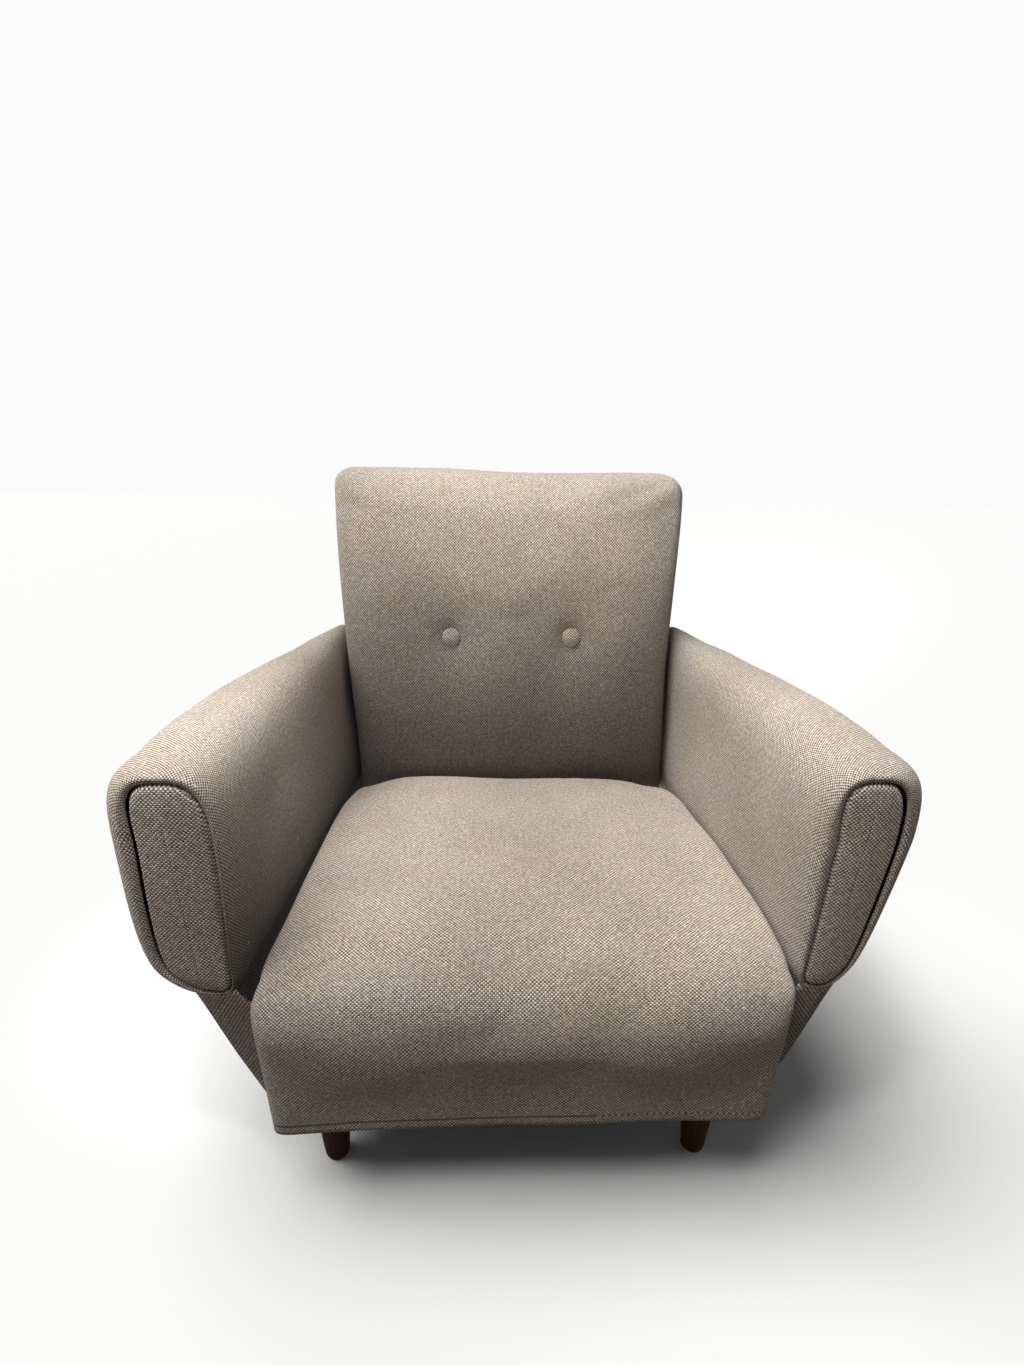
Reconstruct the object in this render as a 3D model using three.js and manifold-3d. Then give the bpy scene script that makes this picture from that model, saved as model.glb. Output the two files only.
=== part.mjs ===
// An old low armchair: a hardwood frame on four turned legs, a sprung and webbed seat, a buttoned
// back and two flared, stuffed arms, all in one worn hopsack tweed.
//
// Millimetres, +Z up, front towards -Y. Inside the chair's own group, y is measured back from the
// seat's front edge and z up from the top of that edge. The last lines stand the chair on z = 0.

import * as THREE from "three";
import { LoftGeometry } from "three/addons/geometries/LoftGeometry.js";
import { mergeVertices } from "three/addons/utils/BufferGeometryUtils.js";
import Module from "manifold-3d";

// Driving dimensions

const OVERALL_WIDTH = 840; // over the widest part of the arms
const LEG_HEIGHT = 110; // floor to the underside of the upholstery
const APRON_HEIGHT = 190; // underside of the upholstery to the seat's front edge
const SEAT_DEPTH = 505; // front edge of the seat to where it meets the back
const SEAT_FRONT_WIDTH = 552;
const SEAT_BACK_WIDTH = 492;
const SEAT_SIDE_BULGE = 19; // how far each side of the cushion swells at mid depth
const SEAT_CROWN = 24; // rise of the cushion's middle over its edges
const BACK_RISE = 450; // top of the back over the seat's front edge
const BACK_FOOT_WIDTH = 500; // between the arms, at seat level
const BACK_TOP_WIDTH = 550;
const BACK_SETBACK = 35; // front face of the back behind the seat's rear edge, at z = 0
const BACK_THICKNESS = 115; // that face to the rear face of the back frame, at z = 0
const FRONT_LEAN = 0.24; // millimetres back for each millimetre up
const REAR_LEAN = 0.182;
const ARM_RISE = 228; // top of the arm over the seat's front edge, at the front
const ARM_REAR_DROP = 20;
const ARM_FRONT = 45; // front plane of the arms behind the seat's front edge
const ARM_FOOT = -32; // crease under the stuffed arm

const COVER = 3; // tweed with its wadding
const ARM_STUFFING = 12;
const FIT = 0.4; // clearance between neighbours
const RAIL_THICKNESS = 24;
const RAIL_HEIGHT = 89;
const POST_DEPTH = 45;
const POST_WIDTH = 28;
const WEB_WIDTH = 50;
const WEB_THICKNESS = 2;
const WEB_ROWS = 3; // strips each way, and springs each way
const WIRE_RADIUS = 1.9;
const SPRING_TURNS = 4.5;
const BLOCK_SIZE = 66;
const BOLT_RADIUS = 4;
const LEG_TOP_RADIUS = 23;
const LEG_FOOT_RADIUS = 14;
const BUTTON_RADIUS = 12;
const BUTTON_SPACING = 191;
const BUTTON_HEIGHT = 209; // over the seat's front edge
const DIMPLE_DEPTH = 14;
const DIMPLE_WIDTH = 38;

// Levels and lines that the pieces share

const UNDERSIDE = -APRON_HEIGHT;
const RAIL_BOTTOM = UNDERSIDE + 6; // webbing and dust cover lie in these 6 mm
const RAIL_TOP = RAIL_BOTTOM + RAIL_HEIGHT;
const WEB_WAVE = 1.4; // half the rise of a strip over the one it crosses
const WEB_LEVEL = RAIL_BOTTOM - FIT - WEB_WAVE - WEB_THICKNESS / 2;
const DUST_TOP = WEB_LEVEL - WEB_WAVE - WEB_THICKNESS / 2 - FIT;
const DUST_THICKNESS = 0.6;
const FRONT_RAIL_FACE = 14;
const SIDE_RAIL_START = FRONT_RAIL_FACE + RAIL_THICKNESS + FIT;
const HESSIAN_TOP = -45;
const HESSIAN_THICKNESS = 1.5;
const SEAT_EDGE_RADIUS = 25;
const PANEL_THICKNESS = 4;
const ARM_TOP_RAIL_LEVEL = ARM_RISE - 42;
const ARM_RAIL_THICKNESS = 22;
const FACING_BORDER = 13; // from the arm's outline in to the facing's seam
const FACING_FRONT = ARM_FRONT - 2;
const BOARD_FRONT = ARM_FRONT + COVER + FIT + ARM_STUFFING + 5;
const BOARD_THICKNESS = 22;
const BACK_FOOT = -60; // where the inside back is pulled down and tacked
const BACK_FRONT_DISTANCE = SEAT_DEPTH + BACK_SETBACK;
const BACK_REAR_DISTANCE = BACK_FRONT_DISTANCE + BACK_THICKNESS;
const ARM_REAR = BACK_REAR_DISTANCE - 7;
const ARM_LEAN_START = 250; // the arm stands upright in front of this and leans with the back behind it
const PANEL_FRONT = ARM_FRONT + 3;

const lerp = THREE.MathUtils.lerp;
const smooth = (x, a, b) => THREE.MathUtils.smoothstep(x, a, b);

const rearFace = (z) => BACK_REAR_DISTANCE + REAR_LEAN * z;
const postFront = (z) => rearFace(z) - FIT - POST_DEPTH;
const seatHalf = (y) => {
  const t = y / SEAT_DEPTH;
  return lerp(SEAT_FRONT_WIDTH, SEAT_BACK_WIDTH, t) / 2 + SEAT_SIDE_BULGE * Math.sin(Math.PI * t);
};
const railHalf = (y) => lerp(SEAT_FRONT_WIDTH / 2 - 14, BACK_FOOT_WIDTH / 2 - 18, y / SEAT_DEPTH);
const railEndHalf = railHalf(postFront(RAIL_TOP)); // outer face of a side rail where it meets the post
const railInner = (y) => {
  const t = (y - SIDE_RAIL_START) / (postFront(RAIL_BOTTOM) - SIDE_RAIL_START);
  return lerp(railHalf(SIDE_RAIL_START), railEndHalf, t) - RAIL_THICKNESS;
};
const backHalf = (z) => lerp(BACK_FOOT_WIDTH, BACK_TOP_WIDTH, smooth(z, -60, BACK_RISE * 0.95)) / 2;
const panelFoot = (y) => lerp(railHalf(y) + 24, BACK_FOOT_WIDTH / 2 + 8, smooth(y, 0, ARM_REAR));
const postOuter = (z) =>
  lerp(BACK_FOOT_WIDTH / 2 - 10, BACK_TOP_WIDTH / 2 - 13, (z - RAIL_BOTTOM) / (BACK_RISE - RAIL_BOTTOM));

// Solids

const wasm = await Module();
wasm.setup();

// A closed geometry as a solid that can be cut.
function solid(geometry) {
  const bare = geometry.index ? geometry.toNonIndexed() : geometry.clone();
  bare.deleteAttribute("normal");
  bare.deleteAttribute("uv");
  const merged = mergeVertices(bare, 1e-3);
  return new wasm.Manifold(
    new wasm.Mesh({
      numProp: 3,
      vertProperties: merged.attributes.position.array,
      triVerts: new Uint32Array(merged.index.array),
    }),
  );
}

function geometryOf(manifold) {
  const mesh = manifold.getMesh();
  const geometry = new THREE.BufferGeometry();
  geometry.setAttribute("position", new THREE.BufferAttribute(mesh.vertProperties, 3));
  geometry.setIndex(new THREE.BufferAttribute(mesh.triVerts, 1));
  geometry.computeVertexNormals();
  return geometry;
}

const cut = (geometry, ...tools) =>
  geometryOf(tools.reduce((left, tool) => left.subtract(solid(tool)), solid(geometry)));

// A skin through rings of points, closed at both ends. Its faces point outwards when each ring turns
// anticlockwise seen from the last ring, so rings that turn the other way are reversed.
function loft(rings) {
  const middle = (ring) => ring.reduce((sum, p) => sum.add(p), new THREE.Vector3()).divideScalar(ring.length);
  const centre = middle(rings[0]);
  const along = middle(rings.at(-1)).sub(centre);
  const turn = new THREE.Vector3();
  rings[0].forEach((p, i, ring) => {
    const next = ring[(i + 1) % ring.length].clone().sub(centre);
    turn.add(p.clone().sub(centre).cross(next));
  });
  const ordered = turn.dot(along) > 0 ? rings : rings.map((ring) => ring.slice().reverse());
  return new LoftGeometry(ordered, { capStart: true, capEnd: true });
}

// The same geometry on the chair's other side.
function mirrored(geometry) {
  const twin = geometry.index ? geometry.toNonIndexed() : geometry.clone();
  twin.scale(-1, 1, 1);
  const p = twin.attributes.position;
  const corner = new THREE.Vector3();
  const other = new THREE.Vector3();
  for (let i = 0; i < p.count; i += 3) {
    corner.fromBufferAttribute(p, i + 1);
    other.fromBufferAttribute(p, i + 2);
    p.setXYZ(i + 1, other.x, other.y, other.z);
    p.setXYZ(i + 2, corner.x, corner.y, corner.z);
  }
  twin.computeVertexNormals();
  return twin;
}

// An outline in the XZ plane, as [x, z] pairs, thickened from y = front to y = front + depth.
function plateXZ(outline, front, depth) {
  const shape = new THREE.Shape(outline.map(([x, z]) => new THREE.Vector2(x, z)));
  const plate = new THREE.ExtrudeGeometry(shape, { depth, bevelEnabled: false });
  return plate.rotateX(Math.PI / 2).translate(0, front + depth, 0);
}

// A bar between two upright quads. Each quad is { x: [inner, outer], y, z: [bottom, top], lean }, and
// its y moves back with height by the lean.
function bar(near, far, grow = 0) {
  const ring = (end, sign) => {
    const [x0, x1] = [end.x[0] - grow, end.x[1] + grow];
    const [z0, z1] = [end.z[0] - grow, end.z[1] + grow];
    const at = (x, z) => new THREE.Vector3(x, end.y + sign * grow + (end.lean ?? 0) * z, z);
    return [at(x0, z0), at(x1, z0), at(x1, z1), at(x0, z1)];
  };
  return loft([ring(near, -1), ring(far, 1)]);
}

const chair = new THREE.Group();

function add(name, geometry, finish) {
  const mesh = new THREE.Mesh(geometry, new THREE.MeshStandardMaterial(finish));
  mesh.name = name;
  chair.add(mesh);
  return mesh;
}

const HARDWOOD = { color: 0xa5825c, roughness: 0.75, metalness: 0 };
const STAINED_WOOD = { color: 0x3a2416, roughness: 0.45, metalness: 0 };
const TWEED = { color: 0x9a8d7f, roughness: 0.95, metalness: 0 };
const JUTE = { color: 0xa98e62, roughness: 0.9, metalness: 0 };
const FIBRE = { color: 0x6d5a45, roughness: 1, metalness: 0 };
const STEEL = { color: 0x77716a, roughness: 0.5, metalness: 0.9 };
const LINING = { color: 0x2c2a28, roughness: 0.95, metalness: 0 };

const SIDES = ["left", "right"];
const onSide = (side, geometry) => (side === "right" ? geometry : mirrored(geometry));

// Seat frame: a front rail, two side rails that run back to the posts, and a rear rail between them

{
  const frontHalf = railHalf(FRONT_RAIL_FACE);
  const level = [RAIL_BOTTOM, RAIL_TOP];
  add(
    "seat_rail_front",
    plateXZ(
      [
        [-frontHalf, RAIL_BOTTOM],
        [frontHalf, RAIL_BOTTOM],
        [frontHalf, RAIL_TOP],
        [-frontHalf, RAIL_TOP],
      ],
      FRONT_RAIL_FACE,
      RAIL_THICKNESS,
    ),
    HARDWOOD,
  );

  const railEnd = postFront(0) - FIT;
  const sideRail = bar(
    { x: [railHalf(SIDE_RAIL_START) - RAIL_THICKNESS, railHalf(SIDE_RAIL_START)], y: SIDE_RAIL_START, z: level },
    { x: [railEndHalf - RAIL_THICKNESS, railEndHalf], y: railEnd, z: level, lean: REAR_LEAN },
  );
  for (const side of SIDES) add(`seat_rail_${side}`, onSide(side, sideRail), HARDWOOD);

  const rearHalf = postOuter(RAIL_BOTTOM) - POST_WIDTH - FIT;
  const rear = { z: level, lean: REAR_LEAN, y: postFront(0) + POST_DEPTH / 4 };
  add(
    "seat_rail_rear",
    bar({ ...rear, x: [-rearHalf, rearHalf] }, { ...rear, x: [-rearHalf, rearHalf], y: rear.y + RAIL_THICKNESS }),
    HARDWOOD,
  );
}

// Back frame: two leaning posts, a top rail and a lower rail that the covers are tacked to

{
  const post = loft(
    [RAIL_BOTTOM, BACK_RISE - 25].map((z) => {
      const outer = postOuter(z);
      const at = (x, y) => new THREE.Vector3(x, y, z);
      const [front, rear] = [postFront(z), postFront(z) + POST_DEPTH];
      return [at(outer - POST_WIDTH, front), at(outer, front), at(outer, rear), at(outer - POST_WIDTH, rear)];
    }),
  );
  for (const side of SIDES) add(`back_post_${side}`, onSide(side, post), HARDWOOD);

  const crossRail = (name, bottom, top) => {
    const half = postOuter(bottom) - POST_WIDTH - FIT;
    const face = { x: [-half, half], z: [bottom, top], lean: REAR_LEAN, y: postFront(0) };
    add(name, bar(face, { ...face, y: face.y + RAIL_THICKNESS }), HARDWOOD);
  };
  crossRail("back_top_rail", BACK_RISE - 85, BACK_RISE - 25);
  crossRail("back_lower_rail", BACK_FOOT, BACK_FOOT + 55);
}

// Corner blocks glued into the frame, each with a leg below it and a hanger bolt through both

{
  const boltRise = 34;
  const boltDrop = 26;
  const blockTop = RAIL_BOTTOM + 40;
  const legTop = DUST_TOP - DUST_THICKNESS - FIT;
  const legBottom = UNDERSIDE - LEG_HEIGHT;
  const blockBottom = DUST_TOP + FIT;
  const legInset = { x: 12, y: 34 }; // of the leg's centre, from the rails
  const corners = {
    front: { y: SIDE_RAIL_START, back: 1 },
    rear: { y: postFront(blockBottom) - FIT, back: -1 },
  };
  for (const [end, corner] of Object.entries(corners)) {
    const far = corner.y + corner.back * BLOCK_SIZE;
    const half = (y) => railInner(y) - FIT;
    const centre = new THREE.Vector2(
      Math.min(half(corner.y), half(far)) - legInset.x,
      corner.y + corner.back * legInset.y,
    );
    const outline = new THREE.Shape([
      new THREE.Vector2(half(corner.y), corner.y),
      new THREE.Vector2(half(far), far),
      new THREE.Vector2(half(far) - BLOCK_SIZE * 0.3, far),
      new THREE.Vector2(half(corner.y) - BLOCK_SIZE, corner.y + corner.back * BLOCK_SIZE * 0.3),
      new THREE.Vector2(half(corner.y) - BLOCK_SIZE, corner.y),
    ]);
    outline.holes.push(new THREE.Path().absarc(centre.x, centre.y, BOLT_RADIUS + FIT, 0, 2 * Math.PI));
    const block = new THREE.ExtrudeGeometry(outline, {
      depth: blockTop - blockBottom,
      bevelEnabled: false,
      curveSegments: 8,
    }).translate(0, 0, blockBottom);

    const leg = new THREE.LatheGeometry(
      [
        new THREE.Vector2(0, legTop - boltDrop - FIT),
        new THREE.Vector2(BOLT_RADIUS + FIT, legTop - boltDrop - FIT),
        new THREE.Vector2(BOLT_RADIUS + FIT, legTop),
        new THREE.Vector2(LEG_TOP_RADIUS - 1.5, legTop),
        new THREE.Vector2(LEG_TOP_RADIUS, legTop - 1.5),
        new THREE.Vector2(lerp(LEG_TOP_RADIUS, LEG_FOOT_RADIUS, 0.96), legBottom + 4),
        new THREE.Vector2(LEG_FOOT_RADIUS - 2, legBottom),
        new THREE.Vector2(0, legBottom),
      ].reverse(),
      16,
    )
      .rotateX(Math.PI / 2)
      .translate(centre.x, centre.y, 0);

    const bolt = new THREE.CylinderGeometry(BOLT_RADIUS, BOLT_RADIUS, boltDrop + boltRise, 8)
      .rotateX(Math.PI / 2)
      .translate(centre.x, centre.y, legTop + (boltRise - boltDrop) / 2);

    corner.centre = centre;
    for (const side of SIDES) {
      add(`corner_block_${end}_${side}`, onSide(side, block), HARDWOOD);
      add(`leg_${end}_${side}`, onSide(side, leg), STAINED_WOOD);
      add(`leg_bolt_${end}_${side}`, onSide(side, bolt), STEEL);
    }
  }

  // Dust cover: one sheet of lining under the whole frame, pierced where the bolts pass
  const rearEdge = rearFace(RAIL_BOTTOM) - 8;
  const frontEdge = FRONT_RAIL_FACE + 4;
  const apronEnd = PANEL_FRONT + COVER + 1; // the apron and the side panel's return stand beside it here
  const edgeHalf = (y) => (y > apronEnd ? panelFoot(y) - PANEL_THICKNESS : railHalf(y)) - 3;
  const edge = [frontEdge, apronEnd, apronEnd + 4, 150, 300, 450, rearEdge].map((y) => [edgeHalf(y), y]);
  const dust = new THREE.Shape([
    ...edge.map(([x, y]) => new THREE.Vector2(x, y)),
    ...edge.reverse().map(([x, y]) => new THREE.Vector2(-x, y)),
  ]);
  for (const { centre } of Object.values(corners))
    for (const x of [centre.x, -centre.x])
      dust.holes.push(new THREE.Path().absarc(x, centre.y, BOLT_RADIUS + FIT, 0, 2 * Math.PI));
  add(
    "dust_cover",
    new THREE.ExtrudeGeometry(dust, { depth: DUST_THICKNESS, bevelEnabled: false, curveSegments: 8 }).translate(
      0,
      0,
      DUST_TOP - DUST_THICKNESS,
    ),
    LINING,
  );
}

// Seat webbing: strips woven over and under each other, tacked under the rails. Springs stand on the
// crossings.

{
  const firstRow = SIDE_RAIL_START + 95;
  const lastRow = SEAT_DEPTH - 52;
  const rowPitch = (lastRow - firstRow) / (WEB_ROWS - 1);
  const widest = railHalf(postFront(RAIL_BOTTOM)) - RAIL_THICKNESS - BLOCK_SIZE - WEB_WIDTH / 2 - 4;
  const columnPitch = (2 * widest) / (WEB_ROWS - 1); // the outer strips pass the corner blocks
  const rows = Array.from({ length: WEB_ROWS }, (_, i) => firstRow + i * rowPitch);
  const columns = Array.from({ length: WEB_ROWS }, (_, i) => (i - (WEB_ROWS - 1) / 2) * columnPitch);

  // A strip seen from its side: a wave that is up at one crossing and down at the next.
  function strip(from, to, firstCrossing, pitch, startsUp) {
    const steps = 14;
    const wave = (s) => {
      const phase = Math.cos((Math.PI * (s - firstCrossing)) / pitch) * (startsUp ? 1 : -1);
      const inside = smooth(s, from, from + 40) * (1 - smooth(s, to - 40, to));
      return WEB_LEVEL + WEB_WAVE * (inside * phase + (1 - inside));
    };
    const line = Array.from({ length: steps + 1 }, (_, i) => lerp(from, to, i / steps));
    const upper = line.map((s) => new THREE.Vector2(s, wave(s) + WEB_THICKNESS / 2));
    const lower = line.reverse().map((s) => new THREE.Vector2(s, wave(s) - WEB_THICKNESS / 2));
    return new THREE.ExtrudeGeometry(new THREE.Shape([...upper, ...lower]), {
      depth: WEB_WIDTH,
      bevelEnabled: false,
    }).rotateX(Math.PI / 2);
  }

  rows.forEach((y, i) => {
    const half = railHalf(y) - 5;
    add(
      `seat_web_cross_${i + 1}`,
      strip(-half, half, columns[0], columnPitch, i % 2 === 0).translate(0, y + WEB_WIDTH / 2, 0),
      JUTE,
    );
  });
  columns.forEach((x, i) => {
    add(
      `seat_web_long_${i + 1}`,
      strip(FRONT_RAIL_FACE + 5, rearFace(RAIL_BOTTOM) - 20, rows[0], rowPitch, i % 2 === 1)
        .rotateZ(Math.PI / 2)
        .translate(x - WEB_WIDTH / 2, 0, 0),
      JUTE,
    );
  });

  // A coil spring, wide at both ends and narrow at its waist, with flat end turns.
  class Coil extends THREE.Curve {
    constructor(bottom, top, endRadius, waistRadius) {
      super();
      Object.assign(this, { bottom, top, endRadius, waistRadius });
    }
    getPoint(t, target = new THREE.Vector3()) {
      const turn = 2 * Math.PI * SPRING_TURNS * t;
      const flatShare = 0.5 / SPRING_TURNS;
      const rise = THREE.MathUtils.clamp((t - flatShare) / (1 - 2 * flatShare), 0, 1);
      const radius = lerp(this.waistRadius, this.endRadius, Math.abs(2 * t - 1));
      return target.set(radius * Math.cos(turn), radius * Math.sin(turn), lerp(this.bottom, this.top, rise));
    }
  }
  const bottom = WEB_LEVEL + WEB_WAVE + WEB_THICKNESS / 2 + WIRE_RADIUS + FIT;
  const top = HESSIAN_TOP - HESSIAN_THICKNESS - WIRE_RADIUS - FIT;
  const coil = new THREE.ExtrudeGeometry(
    new THREE.Shape(new THREE.EllipseCurve(0, 0, WIRE_RADIUS, WIRE_RADIUS).getPoints(5).slice(0, 5)),
    { steps: 32, bevelEnabled: false, extrudePath: new Coil(bottom, top, 38, 26) },
  );
  rows.forEach((y, row) =>
    columns.forEach((x, column) =>
      add(`seat_spring_${row * WEB_ROWS + column + 1}`, coil.clone().translate(x, y, 0), STEEL),
    ),
  );
}

// Seat: hessian over the springs, a stuffed pad, and a cover in one piece that rolls over the front
// edge and runs down to the underside as an apron

{
  const backCorner = 34; // plan radius of the cushion's rear corners
  const cornerRadius = 14;
  const apronDepth = ARM_FRONT - 3;
  const overhangFoot = -60; // the cushion's side stands out over the rails above these levels
  const overhangTop = -44;

  // Height of the cushion's edge: it rolls off in a quarter circle at the front and at the rear.
  const roll = (distance, radius) =>
    distance >= radius ? 0 : Math.sqrt(Math.max(radius ** 2 - (radius - distance) ** 2, 0)) - radius;
  const edgeLevel = (y) => roll(y, SEAT_EDGE_RADIUS) + roll(SEAT_DEPTH - y, 18) * 0.8;
  const plan = (y) => seatHalf(y) + roll(SEAT_DEPTH - y, backCorner) * 0.25;

  // A section across the seat at y, moved inwards by a distance, with its foot at a given level.
  function section(y, inwards, foot) {
    const apron = y <= apronDepth;
    const top = plan(y) - inwards;
    const low = (apron ? SEAT_FRONT_WIDTH / 2 - 2 : railHalf(y) + FIT + COVER) - inwards;
    const edge = edgeLevel(y) - inwards;
    const crown = SEAT_CROWN * Math.sin(Math.PI * Math.min(Math.max(y / SEAT_DEPTH, 0.04), 0.96)) ** 0.6;
    const rim = plan(y) - cornerRadius;
    const arc = (cornerRadius - inwards) * Math.SQRT1_2;
    const flat = [1, 0.8, 0.55, 0.28, 0].map((s) => [rim * s, edge + crown * (1 - s * s)]);
    const half = [
      [low, foot],
      [low, Math.max(foot + 1, overhangFoot + 0.6 * inwards)],
      [top - 2, overhangTop + 0.6 * inwards],
      [top, edgeLevel(y) - cornerRadius],
      [rim + arc, edgeLevel(y) - cornerRadius + arc],
      ...flat,
    ];
    const other = half.slice(0, -1).reverse().map(([x, z]) => [-x, z]);
    const at = y + inwards * (1 - smooth(y, 0, 30) - smooth(y, SEAT_DEPTH - 30, SEAT_DEPTH));
    return [...half, ...other].map(([x, z]) => new THREE.Vector3(x, at, z));
  }

  const frontStations = [0, 2, 7, 15, SEAT_EDGE_RADIUS, apronDepth, apronDepth + 4];
  const sideStations = [90, 145, 205, 265, 325, 380, 430, 465, 487, 498, 505]; // spread over the seat's depth
  const stations = [...frontStations, ...sideStations.map((y) => (y / sideStations.at(-1)) * SEAT_DEPTH)];
  const body = (inwards, apronFoot, foot, front = 0) =>
    loft(
      stations.filter((y) => y >= front).map((y) => section(y, inwards, y <= apronDepth ? apronFoot : foot)),
    );

  const hemLevel = RAIL_TOP - 26; // where the sides of the cover are tacked to the rails
  const rearOpening = bar(
    { x: [-SEAT_BACK_WIDTH / 2, SEAT_BACK_WIDTH / 2], y: SEAT_DEPTH - 12, z: [hemLevel - 90, BACK_FOOT] },
    { x: [-SEAT_BACK_WIDTH / 2, SEAT_BACK_WIDTH / 2], y: SEAT_DEPTH + 12, z: [hemLevel - 90, BACK_FOOT] },
  );
  add(
    "seat_cover",
    cut(body(0, UNDERSIDE, hemLevel), body(COVER, UNDERSIDE - 9, hemLevel - 90), rearOpening),
    TWEED,
  );
  add("seat_padding", body(COVER + FIT, RAIL_TOP + FIT, HESSIAN_TOP + FIT, 2), FIBRE);

  const hessianFront = SIDE_RAIL_START + 10;
  const hessianRear = SEAT_DEPTH - 25;
  const hessian = new THREE.Shape([
    new THREE.Vector2(-railHalf(hessianFront) + 6, hessianFront),
    new THREE.Vector2(railHalf(hessianFront) - 6, hessianFront),
    new THREE.Vector2(railHalf(hessianRear) - 6, hessianRear),
    new THREE.Vector2(-railHalf(hessianRear) + 6, hessianRear),
  ]);
  add(
    "seat_hessian",
    new THREE.ExtrudeGeometry(hessian, { depth: HESSIAN_THICKNESS, bevelEnabled: false }).translate(
      0,
      0,
      HESSIAN_TOP - HESSIAN_THICKNESS,
    ),
    JUTE,
  );
}

// Arms. A section across the right arm at y runs from the foot of its inner face, up, over the top
// and down the flared outer face to the crease.

const armInnerFoot = (y) => Math.max(seatHalf(Math.min(y, SEAT_DEPTH)) + 8, BACK_FOOT_WIDTH / 2 + 3);
const armInnerShoulder = (y) =>
  lerp(SEAT_FRONT_WIDTH / 2 + 14, backHalf(ARM_RISE - 28) + 2, smooth(y, 200, BACK_FRONT_DISTANCE + 20));
const armOuter = (y) => {
  const widest = 230; // distance back at which the arm is widest
  const frontEase = 34 * Math.exp((ARM_FRONT - y) / ARM_FRONT) * (1 - smooth(y, widest - 100, widest));
  const sweep = Math.max((y - widest) / (ARM_REAR - widest), 0) ** 1.6;
  return OVERALL_WIDTH / 2 - frontEase - sweep * (OVERALL_WIDTH / 2 - BACK_FOOT_WIDTH / 2 - 40);
};
const armTop = (y) => ARM_RISE - ARM_REAR_DROP * smooth(y, ARM_FRONT, ARM_REAR);
const armUndercut = (y) => 0.5 * (armOuter(y) - armInnerFoot(y));

function armLine(y, inwards) {
  const shoulder = 0.66 * ARM_RISE;
  const foot = armInnerFoot(y) + inwards;
  const inner = armInnerShoulder(y) + inwards;
  const outer = armOuter(y) - inwards;
  const top = armTop(y) - inwards;
  const line = [0, 0.33, 0.67].map((t) => [lerp(foot, inner, t * t * (3 - 2 * t)), lerp(ARM_FOOT, shoulder, t)]);
  const centre = (inner + outer) / 2;
  const reach = (outer - inner) / 2;
  for (let i = 0; i <= 6; i++) {
    const angle = Math.PI * (1 - i / 6);
    const [c, s] = [Math.cos(angle), Math.sin(angle)];
    const round = (v) => Math.sign(v) * Math.abs(v) ** 0.78;
    line.push([centre + reach * round(c), shoulder + (top - shoulder) * round(s)]);
  }
  for (const u of [0.25, 0.5, 0.75, 0.9, 1]) {
    const fall = 0.65 * u ** 1.2 + 0.35 * u ** 8;
    line.push([outer - armUndercut(y) * fall, lerp(shoulder, ARM_FOOT, u)]);
  }
  return line;
}

// The front edge of the arm is rounded: each station is [y, how far its outline is drawn in].
const ARM_NOSE = [
  [0, 12],
  [2, 7],
  [7, 3],
  [15, 0.8],
  [27, 0],
];

function armBody(inwards, drop, thickening = 0) {
  const noseEnd = ARM_FRONT + ARM_NOSE.at(-1)[0];
  const behind = Array.from({ length: 9 }, (_, i) => [lerp(noseEnd, ARM_REAR, (i + 1) / 9), 0]);
  const stations = [...ARM_NOSE.map(([y, e]) => [ARM_FRONT + y, e]), ...behind];
  return loft(
    stations.map(([y, drawnIn]) => {
      const nose = 1 - smooth(y, ARM_FRONT, noseEnd);
      const tail = smooth(y, ARM_REAR - 60, ARM_REAR);
      const narrowest = Math.min(armOuter(y) - armInnerShoulder(y), armUndercut(y));
      const depth = inwards + Math.min(thickening, 0.2 * narrowest);
      const plane = y + (nose - tail) * depth;
      const lean = REAR_LEAN * smooth(y, ARM_LEAN_START, ARM_REAR);
      const line = armLine(y, Math.min(depth + drawnIn, 0.42 * narrowest));
      if (drop > 0) {
        line.unshift([line[0][0], ARM_FOOT - drop]);
        line.push([line.at(-1)[0], ARM_FOOT - drop]);
      }
      return line.map(([x, z]) => new THREE.Vector3(x, plane + lean * z, z));
    }),
  );
}

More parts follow.
